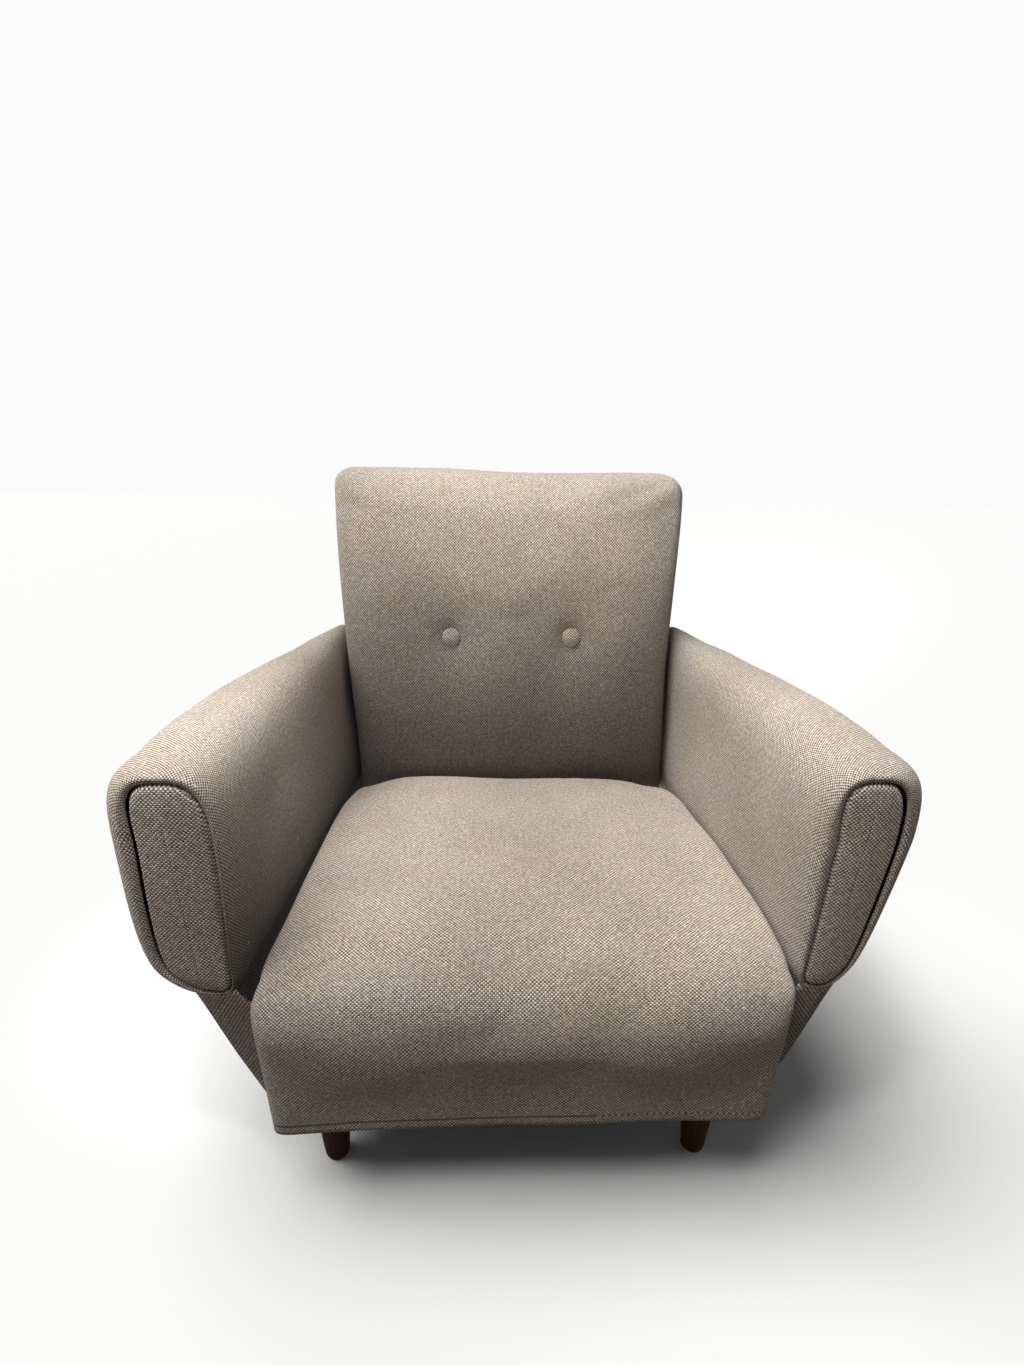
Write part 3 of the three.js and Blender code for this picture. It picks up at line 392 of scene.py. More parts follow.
def lumps(points, height, length, seed):
    """A gentle unevenness: the sum of six waves in fixed random directions, about a length apart."""
    maker = np.random.default_rng(seed)
    directions = maker.normal(size=(6, 3))
    directions *= 2 * np.pi / length / np.linalg.norm(directions, axis=1, keepdims=True)
    phases = maker.uniform(0, 2 * np.pi, 6)
    return height / 2.5 * np.sin(points @ directions.T + phases).sum(-1)


def add_object(name, data):
    """A new object in the scene that shows a mesh, a lamp or a camera."""
    made = bpy.data.objects.new(name, data)
    bpy.context.scene.collection.objects.link(made)
    return made


def make_piece(name, points, faces, uv, material=hopsack, painted_shade=None):
    """A mesh object from points in the seat edge's coordinates, with the weave's flat coordinates in
    metres at each face corner, and where a cover has painted shade, how much at each point."""
    mesh = bpy.data.meshes.new(name)
    mesh.from_pydata((points + edge_origin).tolist(), [], faces.tolist())
    layer = mesh.uv_layers.new(name="weave")
    layer.data.foreach_set("uv", uv.astype(np.float32).ravel())
    if painted_shade is not None:
        painted_shade_layer = mesh.attributes.new("painted_shade", "FLOAT", "POINT")
        painted_shade_layer.data.foreach_set("value", painted_shade.astype(np.float32))
    mesh.polygons.foreach_set("use_smooth", np.ones(len(mesh.polygons), bool))
    mesh.materials.append(material)
    mesh.update()
    made = add_object(name, mesh)
    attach(made, "root")
    return made


def stuff(piece, held, reach):
    """Swells a cover over its stuffing by a short cloth simulation under pressure and without weight. The
    held points are pinned, no point moves further than its reach, in metres, and the result is written
    to the cover's own mesh."""
    mesh = piece.data
    before = np.empty(3 * len(mesh.vertices), np.float32)
    mesh.vertices.foreach_get("co", before)
    pins = piece.vertex_groups.new(name="tacked down")
    pins.add(np.flatnonzero(held).tolist(), 1.0, "REPLACE")
    cloth = piece.modifiers.new("stuffing", "CLOTH")
    cloth.settings.vertex_group_mass = "tacked down"
    cloth.settings.use_pressure = True
    cloth.settings.uniform_pressure_force = STUFFING_PRESSURE
    cloth.settings.effector_weights.gravity = 0.0
    cloth.settings.quality = 4
    for step_number in range(1, STUFFING_STEPS + 1):
        bpy.context.scene.frame_set(step_number)
    swollen = piece.evaluated_get(bpy.context.evaluated_depsgraph_get()).data
    after = np.empty_like(before)
    swollen.vertices.foreach_get("co", after)
    piece.modifiers.remove(cloth)
    piece.vertex_groups.remove(pins)
    bpy.context.scene.frame_set(1)
    move = (after - before).reshape(-1, 3)
    length = np.linalg.norm(move, axis=-1, keepdims=True)
    move = move * np.minimum(1, reach[:, None] / np.maximum(length, 1e-9))
    mesh.vertices.foreach_set("co", (before.reshape(-1, 3) + move).astype(np.float32).ravel())
    mesh.update()
    return piece


def thicken(piece, thickness=CLOTH_THICKNESS, levels=1):
    """Smooths a sheet and gives it the cloth's thickness inwards."""
    if levels:
        piece.modifiers.new("smooth", "SUBSURF").levels = levels
        piece.modifiers["smooth"].render_levels = levels
    wall = piece.modifiers.new("thickness", "SOLIDIFY")
    wall.thickness = thickness
    wall.offset = -1
    return piece


def seat_side(y, right):
    """Half the seat's width at a distance back: straight on the left, swollen on the right."""
    t = np.clip(y / SEAT_DEPTH, 0, 1)
    swell = np.where(right, 0.022 * np.sin(np.pi * t**0.72), 0.004 * np.sin(np.pi * t))
    return np.where(right, mix(0.281, 0.256, t), mix(0.280, 0.250, t)) + swell


def rail_side(y):
    """Half the width between the outer faces of the seat's side rails, which draw in to the rear."""
    return mix(0.262, 0.232, y / SEAT_DEPTH)


seat_share, seat_faces, seat_labels = box_net(
    (SEAT_WIDTH, SEAT_DEPTH, APRON_DROP), CELL, ("front", "top", "rear", "left", "right")
)
across = 2 * seat_share[:, 0] - 1
is_right = across > 0
back = seat_share[:, 1] * SEAT_DEPTH

# The apron reaches down to the underside, and behind it the sides end on the rails.
is_apron = smooth(-back, -APRON_DEPTH - 0.012, -APRON_DEPTH)
drop = mix(SIDE_DROP, APRON_DROP + 0.002 - 0.005 * across, is_apron)
down = (1 - seat_share[:, 2]) * drop

# The front edge is a slack roll that wanders along its length, and the corners and sides are rounded.
front_roll = FRONT_ROLL + 0.005 * np.sin(6.0 * across + 0.9) + 0.003 * np.sin(13.0 * across + 2.0)
bulge = 0.009 * np.exp(-(((down - 0.060) / 0.030) ** 2)) * (1 - smooth(back, 0.0, 0.04))
back, down = round_edge(back, down, front_roll)
rear_round = 0.030 * smooth(np.abs(across), 0.65, 1.0) ** 1.6 * smooth(back, 0.30, SEAT_DEPTH)
seat_y = back - rear_round - 0.006 * across * smooth(back, 0.30, SEAT_DEPTH)
half = seat_side(seat_y, is_right) - 0.018 * smooth(seat_y, 0.42, SEAT_DEPTH + 0.02)
inwards = (1 - np.abs(across)) * half
inwards, down = round_edge(inwards, down, 0.016 + 0.010 * (1 - is_right) * (1 - smooth(back, 0.0, 0.09)))
inwards, seat_y = round_edge(inwards, seat_y, 0.013)
crown = SEAT_CROWN * np.sin(np.pi * np.clip(back / SEAT_DEPTH, 0.03, 0.97)) ** 0.6 * (1 - across**2) ** 0.85
wall_half = rail_side(seat_y) + 0.0034
low_half = mix(wall_half, half - 0.005 * down / APRON_DROP, is_apron)
tuck = smooth(down, 0.044, 0.062) * (1 - is_apron)
side_shift = (low_half - half) * np.maximum(tuck, is_apron)
seat_x = np.sign(across) * (half - inwards + side_shift * (1 - inwards / half))
seat_y = seat_y + APRON_SLOPE * down / APRON_DROP * (1 - smooth(back, 0.0, 0.05)) - bulge * (1 - across**6)
seat_points = np.stack([seat_x, seat_y, crown - down], -1)
on_rim = seat_share[:, 2] == 0
rim_level = seat_points[on_rim, 2]
seat_points = soften(seat_points, seat_faces, 5, np.full(len(seat_points), 0.5))
seat_points[on_rim, 2] = rim_level
seat_points[:, 2] += lumps(seat_points, 0.0018, 0.13, 4) * smooth(seat_points[:, 2], -0.05, 0.0)
seat_points[:, 1] += lumps(seat_points, 0.0014, 0.11, 9) * (1 - smooth(seat_points[:, 1], 0.0, 0.03))
corner_uv = seat_share[seat_faces]
flat_x = (2 * corner_uv[..., 0] - 1) * SEAT_CUT_HALF
flat_y = corner_uv[..., 1] * SEAT_DEPTH
flat_down = (1 - corner_uv[..., 2]) * APRON_DROP
side = seat_labels[:, None]
flat_x = flat_x + np.where(side == "right", flat_down, 0) - np.where(side == "left", flat_down, 0)
flat_y = flat_y - np.where(side == "front", flat_down, 0) + np.where(side == "rear", flat_down, 0)
seat_uv = np.stack([flat_x, flat_y], -1)

# The apron's hem is turned up and sewn a finger's breadth above its edge: the thread sinks into a
# # groove on the left, drawn as a dark line of painted shade, and shows as pale stitches on the right.
HEM = -0.1785
STITCH = 0.0072
STITCHES_FROM = 0.085
STITCH_HALF_WIDTH = 0.0008
hemmed = tweed("wool hopsack tweed, hemmed apron")
hem_tree = hemmed.node_tree
hem_shader = hem_tree.nodes["Principled BSDF"]
plain_cloth = hem_shader.inputs["Base Color"].links[0].from_socket
hem_place = node(hem_tree, "SeparateXYZ", {"Vector": node(hem_tree, "UVMap", uv_map="weave")}).outputs
above = node(hem_tree, "Math", {0: hem_place["Y"], 1: HEM}, operation="SUBTRACT")
distance = node(hem_tree, "Math", {0: above}, operation="ABSOLUTE")
hem_line_shade_span = {"Value": distance, "From Min": 0.0006, "From Max": 0.0022, "To Min": 0.75, "To Max": 0.0}
hem_line_shade = node(hem_tree, "MapRange", hem_line_shade_span)
hem_line_shade_tones = {"Factor": hem_line_shade, "A": plain_cloth, "B": colour("#1d1712")}
hem_line_shaded = node(hem_tree, "Mix", hem_line_shade_tones, data_type="RGBA")
step = node(hem_tree, "Math", {0: hem_place["X"], 1: 1 / STITCH}, operation="MULTIPLY")
phase = node(hem_tree, "Math", {0: step}, operation="FRACT")
dash = node(hem_tree, "Math", {0: phase, 1: 0.5}, operation="LESS_THAN")
on_line = node(hem_tree, "Math", {0: distance, 1: STITCH_HALF_WIDTH}, operation="LESS_THAN")
to_right = node(hem_tree, "Math", {0: hem_place["X"], 1: STITCHES_FROM}, operation="GREATER_THAN")
stitch = node(hem_tree, "Math", {0: dash, 1: on_line}, operation="MULTIPLY")
shown_stitch = node(hem_tree, "Math", {0: stitch, 1: to_right}, operation="MULTIPLY")
stitched_tones = {"Factor": shown_stitch, "A": hem_line_shaded, "B": colour("#efe6d6")}
stitched = node(hem_tree, "Mix", stitched_tones, data_type="RGBA")
fill(hem_shader, {"Base Color": stitched})
seat = make_piece("seat_cushion", seat_points, seat_faces, seat_uv, hemmed)

# The stuffing swells the cover everywhere but along its tacked edges.
inland = smooth(1 - np.abs(across), 0.01, 0.10) * smooth(seat_points[:, 2], -0.15, -0.09)
seat = thicken(stuff(seat, inland < 0.05, STUFFING_REACH * inland))
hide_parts("seat_cover", "seat_padding")


# Back: one cover pulled over the front, top and sides of the stuffed back, which leans with its posts.
# Two buttons draw it in, its top edge has slumped towards the right, and the left corner stays tight.

BACK_WIDTH = 0.55
BACK_CUT_HALF = 0.27
BACK_RISE = 0.450
BACK_FOOT = -0.060
BACK_FACE = 0.540
BACK_REAR = 0.655
FRONT_LEAN = 0.24
REAR_LEAN = 0.182
BACK_THICKNESS = 0.10
TOP_ROLL = 0.030
SIDE_ROLL = 0.026
BUTTONS = {"left": (-0.0925, 0.2095), "right": (0.0985, 0.2105)}
BUTTON_RADIUS = 0.0148


def back_side(z, right):
    """Half the back's width at a height: it narrows to its foot, more so on the left."""
    left_half = mix(0.244, 0.2745, smooth(z, -0.06, 0.40) ** 0.75)
    right_half = mix(0.259, 0.2755, smooth(z, 0.10, 0.43))
    return np.where(right, right_half, left_half)


def back_top(x):
    """The top edge's height: highest on the left, slumped from the middle on, and up again a little."""
    return BACK_RISE + 0.005 * (1 - smooth(x, -0.12, 0.02)) + 0.002 * smooth(x, 0.08, 0.20)


def back_front(x, z):
    """The stuffed front face: a leaning plane that swells most low down, where the lower back rests,
    and is drawn in round each button as a narrow pit inside a wide hollow."""
    half = back_side(z, x > 0)
    fullness = mix(0.034, 0.014, smooth(z, 0.04, 0.40)) * smooth(z, BACK_FOOT, 0.03)
    swell = fullness * (1 - np.clip(np.abs(x) / half, 0, 1) ** 2.0) ** 0.7
    face = BACK_FACE + FRONT_LEAN * z - swell
    for bx, bz in BUTTONS.values():
        away = np.hypot(x - bx, (z - bz) * 0.9)
        face = face + 0.010 * np.exp(-((away / 0.050) ** 2)) + 0.014 * np.exp(-((away / 0.021) ** 2))
    return face


def back_rear(z):
    """The flat rear, which leans with the posts."""
    return BACK_REAR + REAR_LEAN * z


back_share, back_faces, back_labels = box_net(
    (BACK_WIDTH, BACK_THICKNESS, BACK_RISE - BACK_FOOT), CELL, ("front", "top", "left", "right")
)
across = 2 * back_share[:, 0] - 1
is_right = across > 0
back_z = mix(BACK_FOOT, BACK_RISE, back_share[:, 2])
half = back_side(back_z, is_right)
beneath = (1 - back_share[:, 2]) * (back_top(across * half) - BACK_FOOT)
inwards = (1 - np.abs(across)) * half
inwards, beneath = round_edge(inwards, beneath, np.where(is_right, 0.030, 0.020))
behind = back_share[:, 1] * BACK_THICKNESS
inwards, behind = round_edge(inwards, behind, SIDE_ROLL)
beneath, behind = round_edge(beneath, behind, TOP_ROLL)
before = BACK_THICKNESS - behind
inwards, before = round_edge(inwards, before, 0.006)
beneath, before = round_edge(beneath, before, 0.006)
back_x = np.sign(across) * (half - inwards)
back_z = back_top(back_x) - beneath
front_y = back_front(back_x, back_z)
back_y = mix(front_y, back_rear(back_z) - 0.0005, 1 - before / BACK_THICKNESS)
back_points = np.stack([back_x, back_y, back_z], -1)
on_rim = (back_share[:, 1] == 1) | (back_share[:, 2] == 0)
back_points = soften(back_points, back_faces, 4, np.where(on_rim, 0.0, 0.4))
back_points[:, 1] += lumps(back_points, 0.0012, 0.12, 21) * (1 - back_share[:, 1])
corner_uv = back_share[back_faces]
flat_x = (2 * corner_uv[..., 0] - 1) * BACK_CUT_HALF
flat_y = mix(BACK_FOOT, BACK_RISE, corner_uv[..., 2])
deep = corner_uv[..., 1] * BACK_THICKNESS
side = back_labels[:, None]
flat_x = flat_x + np.where(side == "right", deep, 0) - np.where(side == "left", deep, 0)
back_uv = np.stack([flat_x, flat_y + np.where(side == "top", deep, 0)], -1)

# Painted shade darkens the front towards its foot and lies in the pits round the buttons, where the cloth
# also
# # stays down when the rest of the front swells.
painted_shade = (1 - smooth(back_points[:, 2], -0.02, 0.40)) * (1 - back_share[:, 1])
for bx, bz in BUTTONS.values():
    away = np.hypot(back_points[:, 0] - bx, back_points[:, 2] - bz - 0.008)
    painted_shade = np.maximum(painted_shade, 0.6 * np.exp(-((away / 0.028) ** 2)))
back_piece = make_piece("back_cushion", back_points, back_faces, back_uv, painted_shade=painted_shade)
inland = smooth(1 - np.abs(across), 0.01, 0.10) * (1 - smooth(back_share[:, 1], 0.02, 0.2))
for bx, bz in BUTTONS.values():
    inland = inland * smooth(np.hypot(back_points[:, 0] - bx, back_points[:, 2] - bz), 0.020, 0.050)
inland = inland * smooth(back_points[:, 2], 0.02, 0.08)
back_piece = thicken(stuff(back_piece, inland < 0.05, STUFFING_REACH * inland))
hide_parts("back_cover", "back_padding")


# Arms: a stuffed pad over each arm's board and rails, covered in one piece. The cover is tacked to the
# seat rail, rises up the inner face, turns over the top and round the flared outer face to the crease
# above the side panel. Its front edge is a soft roll, sewn to the facing in a deep seam.

ARM_FRONT = 0.045
ARM_REAR = 0.648
ARM_RISE = 0.228
ARM_REAR_DROP = 0.020
ARM_FOOT = -0.032
OVERALL_HALF = 0.420
ARM_BOX = 0.66
SHOULDER = 0.66
LOW_SHOULDER = 0.58
WALL_END = 0.32
FALL_START = 0.62
ROLL = 0.0095
ROLL_DEPTH = 0.026
SEAM_DEPTH = 0.0065
REAR_CLOSING = 0.005
FLAP_KNEE = -0.055
TUCKED_TO = -0.078
FLAP_START = 8
FOOT_COLUMNS = 12
MEASURED_COLUMN = 30
FOOT_STEPS = 14
ARM_STEPS = 96
ARM_CELL = 0.0085


def arm_inner_foot(y, right):
    """The foot of the arm's inner face: against the swollen seat on the right, clear of it on the left."""
    by_seat = np.where(right, seat_side(y, True) + 0.0035, mix(0.3010, 0.2575, y / SEAT_DEPTH))
    return np.maximum(by_seat, np.where(right, 0.262, 0.252))


def arm_inner_shoulder(y, right):
    """The inner face where it starts to turn over the top, drawn in towards the back."""
    return mix(0.290, np.where(right, 0.2685, 0.268), smooth(y, 0.20, 0.56))


def arm_outer(y, right):
    """The arm's widest line: eased in at the front and swept in behind to meet the back."""
    ease = np.where(right, 0.036, 0.027) * np.exp((ARM_FRONT - y) / ARM_FRONT) * (1 - smooth(y, 0.13, 0.23))
    sweep = np.clip((y - 0.23) / (ARM_REAR - 0.23), 0, 1) ** 1.6
    return OVERALL_HALF - ease - sweep * (OVERALL_HALF - 0.290)


def arm_section(y, inset, right, w):
    """A point of the arm's section at a share w from the foot of the inner face to the outer crease:
    a rising inner wall, a half ellipse over the top, and a fall that is drawn in towards the crease by
    powers of its share. The half ellipse is squared by taking its sine and cosine to a power below one:
    on its inner side all along the arm, on its outer side only at the front. The left arm's fall stays
    full. Returns x, always positive, and z."""
    shoulder = SHOULDER * ARM_RISE
    inner_shoulder = mix(SHOULDER, LOW_SHOULDER, smooth(y, 0.07, 0.28)) * ARM_RISE
    foot = arm_inner_foot(y, right) + inset
    inner = arm_inner_shoulder(y, right) + inset
    outer = arm_outer(y, right) - inset
    top = ARM_RISE - ARM_REAR_DROP * smooth(y, ARM_FRONT, ARM_REAR) - inset
    rise = np.clip(w / WALL_END, 0, 1)
    turn = np.pi * (1 - np.clip((w - WALL_END) / (FALL_START - WALL_END), 0, 1))
    fall = np.clip((w - FALL_START) / (1 - FALL_START), 0, 1)
    undercut = np.where(right, 0.5, 0.42) * (arm_outer(y, right) - arm_inner_foot(y, right))
    wall_z = mix(ARM_FOOT, inner_shoulder, rise)
    wall_x = mix(foot, inner, smooth(rise, 0, 1))
    cosine, sine = np.cos(turn), np.sin(turn)
    box = np.where(cosine < 0, ARM_BOX, mix(ARM_BOX, 1.0, smooth(y, 0.06, 0.15)))
    over_x = (inner + outer) / 2 + (outer - inner) / 2 * np.sign(cosine) * np.abs(cosine) ** box
    spring = np.where(cosine < 0, inner_shoulder, shoulder)
    over_z = spring + (top - spring) * np.clip(sine, 0, 1) ** box
    drawn = np.where(right, 0.65 * fall**1.2 + 0.35 * fall**8, 0.45 * fall**4 + 0.55 * fall**12)
    fall_x = outer - undercut * drawn
    fall_z = mix(shoulder, ARM_FOOT, fall)
    x = np.where(w < WALL_END, wall_x, np.where(w > FALL_START, fall_x, over_x))
    z = np.where(w < WALL_END, wall_z, np.where(w > FALL_START, fall_z, over_z))
    return x, z


def seam_inset(w, right):
    """How far inside the arm's outline the facing's seam runs: narrow up the inner face, wide round the
    outer one, more so on the left."""
    rise = np.clip(w / WALL_END, 0, 1)
    inner = np.where(right, mix(0.009, 0.021, rise), mix(0.006, 0.010, rise))
    top = 0.0125
    fall = np.clip((w - FALL_START) / (1 - FALL_START), 0, 1)
    outer = np.where(right, mix(0.015, 0.009, fall), mix(0.021, 0.015, fall))
    return mix(mix(inner, top, smooth(w, 0.30, 0.42)), outer, smooth(w, 0.48, 0.64))


def lifted(w, inset):
    """How far an inset line rises at its two lower ends, so that it clears the foot as well."""
    return 0.6 * inset * (1 - smooth(w, 0.0, 0.1) + smooth(w, 0.9, 1.0))


def rear_lean(y):
    """The lean of the arm's section for each metre of height: none in front, the posts' at the rear."""
    return REAR_LEAN * smooth(y, 0.25, ARM_REAR)


def round_foot(x, z, y):
    """Closes each ring along the arm's foot and rounds its two lower corners in front, by moving points
    towards the mean of their neighbours. The rings are the columns, from the foot of the inner face
    over the top to the crease."""
    share = np.linspace(0, 1, FOOT_STEPS + 2)[1:-1, None]
    under_x = mix(x[-1:], x[:1], share)
    under_z = mix(z[-1:], z[:1], share)
    x = np.concatenate([x, under_x])
    z = np.concatenate([z, under_z])
    strength = 0.6 * (1 - smooth(z, ARM_FOOT + 0.012, ARM_FOOT + 0.035)) * (1 - smooth(y, 0.052, 0.070))
    for _ in range(12):
        x = x + strength * ((np.roll(x, 1, axis=0) + np.roll(x, -1, axis=0)) / 2 - x)
        z = z + strength * ((np.roll(z, 1, axis=0) + np.roll(z, -1, axis=0)) / 2 - z)
    return x, z


def arm_cover(right):
    """The cover as a grid: across it the share w along the section, and along it first the roll of the
    front edge, an inner and an outer quarter ellipse, then straight back to the rear and in over the
    rear end. The foot's rows close the roll under the facing."""
    w = np.linspace(0, 1, ARM_STEPS + 1)[:, None]
    inner_turn = np.linspace(np.pi / 2, 0, 7)[:-1]
    outer_turn = np.linspace(0, np.pi / 2, 9)
    seam = seam_inset(w, right)
    roll = np.minimum(ROLL, 0.55 * seam)
    inset = np.concatenate([roll + (seam - roll) * np.sin(inner_turn), roll * (1 - np.sin(outer_turn))], 1)
    depth = np.concatenate([SEAM_DEPTH * (1 - np.cos(inner_turn)), ROLL_DEPTH * (1 - np.cos(outer_turn))])
    cells = round((ARM_REAR - ARM_FRONT - ROLL_DEPTH) / ARM_CELL)
    behind = np.linspace(ARM_FRONT + ROLL_DEPTH, ARM_REAR, cells)[1:]
    inset = np.concatenate([inset, np.zeros((len(w), len(behind)))], 1)
    y = np.concatenate([ARM_FRONT + depth, behind])[None, :]
    closing = REAR_CLOSING * smooth(y, ARM_REAR - 0.02, ARM_REAR) ** 2
    x, z = arm_section(y + 0 * inset, inset + closing, right, w + 0 * inset)
    z = z + lifted(w, inset)
    x, z = round_foot(x, z, y)
    inwards = np.array([0.12, 0.35, 0.65, 0.9])
    middle_x = (x[0, -1] + x[ARM_STEPS, -1]) / 2
    x = np.concatenate([x, mix(x[:, -1:], middle_x, inwards)], 1)
    z = np.concatenate([z, mix(z[:, -1:], 0.06, inwards)], 1)
    y = np.concatenate([y, y[:, -1:] + 0 * inwards], 1)
    return np.stack([x * (1 if right else -1), y + rear_lean(y) * z, z], -1)


for side_name, right in (("left", False), ("right", True)):
    points = arm_cover(right)
    grid = numbered(points)
    along = np.cumsum(np.linalg.norm(np.diff(points, axis=1, prepend=points[:, :1]), axis=-1), axis=1)
    around = np.cumsum(np.linalg.norm(np.diff(points, axis=0, prepend=points[:1]), axis=-1), axis=0)
    around = np.broadcast_to(around[:, MEASURED_COLUMN, None], along.shape)
    uv = np.stack([along, around], -1).reshape(-1, 2)
    under_front = np.concatenate([grid[ARM_STEPS:, :FOOT_COLUMNS], grid[:1, :FOOT_COLUMNS]])
    faces = np.concatenate([quads(grid[: ARM_STEPS + 1]), quads(under_front)])

    # The inner face runs on down to where it is tacked to the seat rail: two more rows of points, each a
    # step sideways from the foot and a height.
    first = points[0, FLAP_START:]
    first = np.stack([first[:, 0], np.minimum(first[:, 1], 0.60), first[:, 2]], -1)
    knee_shift, end_shift = (0.0, 0.0) if right else (0.002, 0.024)
    steps = ((knee_shift, FLAP_KNEE), (end_shift, TUCKED_TO))
    down_rows = np.stack([first * [1, 1, 0] + [shift, 0, level] for shift, level in steps])
    down_rows[..., 0] += (-0.014 if right else 0.008) * smooth(down_rows[..., 1], 0.49, 0.55)
    flap = np.concatenate([grid[:1, FLAP_START:], grid.size + numbered(down_rows)])
    faces = np.concatenate([faces, quads(flap[::-1])])
    points = np.concatenate([points.reshape(-1, 3), down_rows.reshape(-1, 3)])
    flap_down = np.repeat([-0.023, TUCKED_TO - ARM_FOOT], len(first))
    uv = np.concatenate([uv, np.stack([np.tile(along[0, FLAP_START:], 2), flap_down], -1)])
    uneven = lumps(points, 0.0009, 0.12, 33 if right else 34) * smooth(points[:, 1], 0.06, 0.10)
    uneven = uneven * smooth(points[:, 2], -0.02, 0.05)
    points = points + uneven[:, None] * np.array([0.5 if right else -0.5, 0, 0.6])
    faces = faces if right else faces[:, ::-1]

    # Painted shade lies low on the inner face, most of it on the left and along the gap beside the seat.
    inner_face = 1 - smooth(np.abs(points[:, 0]), 0.29, 0.33)
    painted_shade = inner_face * (1 - smooth(points[:, 2], -0.03, 0.20)) * (0.2 if right else 1.15)
    gap_shade = 1.3 * (1 - smooth(points[:, 2], -0.022, 0.006)) * inner_face * (0.6 if right else 1)
    painted_shade = np.maximum(painted_shade, gap_shade)
    arm = thicken(make_piece(f"arm_pad_{side_name}", points, faces, uv[faces], painted_shade=painted_shade))
    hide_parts(f"arm_cover_{side_name}", f"arm_padding_{side_name}")


# Facings: a narrow padded panel set into the front of each arm, sewn in all round, so that it bellies
# out a little between its seams.

FACING_BELLY = 0.0040
FACING_THICKNESS = 0.002
FACING_POINTS = 140
SPINE_FOOT = ARM_FOOT + 0.034
SPINE_TOP = ARM_RISE - 0.045


def facing_outline(right):
    """The seam's closed line, from the foot of the inner side over the top and back along the foot, with
    its points spread evenly."""
    w = np.linspace(0, 1, ARM_STEPS + 1)[:, None]
    inset = seam_inset(w, right)
    x, z = arm_section(np.full_like(w, ARM_FRONT), inset, right, w)
    z = z + lifted(w, inset)
    x, z = round_foot(x, z, np.full((1, 1), ARM_FRONT))
    line = np.concatenate([x, z], 1)
    line = np.concatenate([line, line[:1]])
    walked = np.concatenate([[0], np.cumsum(np.linalg.norm(np.diff(line, axis=0), axis=-1))])
    even = np.linspace(0, walked[-1], FACING_POINTS + 1)[:-1]
    return np.stack([np.interp(even, walked, line[:, axis]) for axis in range(2)], -1)


def facing_pad(right):
    """Rings that shrink from the seam to the panel's middle line. The edge comes forward out of the seam
    in a quarter round, and the face then bellies out by a half sine."""
    line = facing_outline(right)
    loop_x, loop_z = line[:, :1], line[:, 1:]
    spine_z = np.clip(loop_z, SPINE_FOOT, SPINE_TOP)
    height = (spine_z - SPINE_FOOT) / (SPINE_TOP - SPINE_FOOT)
    foot_x = loop_x[loop_z < ARM_FOOT + 0.03]
    foot_middle = (foot_x.min() + foot_x.max()) / 2
    top_middle = (arm_inner_shoulder(ARM_FRONT, right) + arm_outer(ARM_FRONT, right)) / 2
    spine_x = mix(foot_middle, top_middle, height)
    shares = np.array([0, 0, 0.01, 0.03, 0.06, 0.10, 0.15, 0.22, 0.32, 0.44, 0.58, 0.72, 0.86, 1.0])[None, :]
    edge = SEAM_DEPTH * np.clip(1 - shares / 0.12, 0, 1) ** 1.8
    edge[0, 0] += 0.003
    depth = edge - FACING_BELLY * np.sin(np.pi / 2 * shares) ** 0.8
    x = mix(loop_x, spine_x, shares) * (1 if right else -1)
    return np.stack([x, ARM_FRONT + depth + 0 * loop_x, mix(loop_z, spine_z, shares)], -1)


for side_name, right in (("left", False), ("right", True)):
    rings = facing_pad(right)
    grid = numbered(rings)
    grid = np.concatenate([grid, grid[:1]])
    faces = quads(grid[::-1] if right else grid)
    points = rings.reshape(-1, 3)
    uv = points[:, [0, 2]]
    facing = make_piece(f"arm_facing_pad_{side_name}", points, faces, uv[faces])
    thicken(facing, FACING_THICKNESS)
    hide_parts(f"arm_facing_{side_name}")


# Side panels: flat tweed from the crease under each arm down to the underside, pulled over the side
# rail and returned round the front board behind the apron.

PANEL_FRONT = 0.048
RETURN_STEPS = 7


def side_sheet(right):
    """A grid from the crease down to the underside, and round the front corner towards the seat."""
    behind = np.linspace(PANEL_FRONT, ARM_REAR + 0.0055, 64)[1:]
    y = np.concatenate([np.full(RETURN_STEPS, PANEL_FRONT), behind])
    down = np.linspace(0, 1, 20)[:, None]
    head = arm_outer(y, right) - 0.5 * (arm_outer(y, right) - arm_inner_foot(y, right)) - 0.001
    on_rail = rail_side(y) + mix(0.016, 0.024, smooth(y, 0.05, 0.15))
    foot = mix(on_rail, 0.258, smooth(y, 0, ARM_REAR))
    inward = np.concatenate([np.linspace(1, 0, RETURN_STEPS), np.zeros(len(behind))])
    x = mix(head, foot, down)
    inner = mix(0.300, 0.264, smooth(down, 0.0, 0.25))
    x = mix(x, inner, inward)
    z = mix(ARM_FOOT + 0.007 * (1 - smooth(y, 0.05, 0.08)), -APRON_DROP, down)
    tucked = 0.004 * (1 - smooth(y, 0.050, 0.085)) * (1 - smooth(down, 0.0, 0.6)) * (1 - inward)
    hollow = 0.003 * np.sin(np.pi * down) * smooth(y, 0.05, 0.15) + tucked
    z = np.broadcast_to(z, x.shape)
    return np.stack([(x - hollow) * (1 if right else -1), y + rear_lean(y) * z, z], -1)


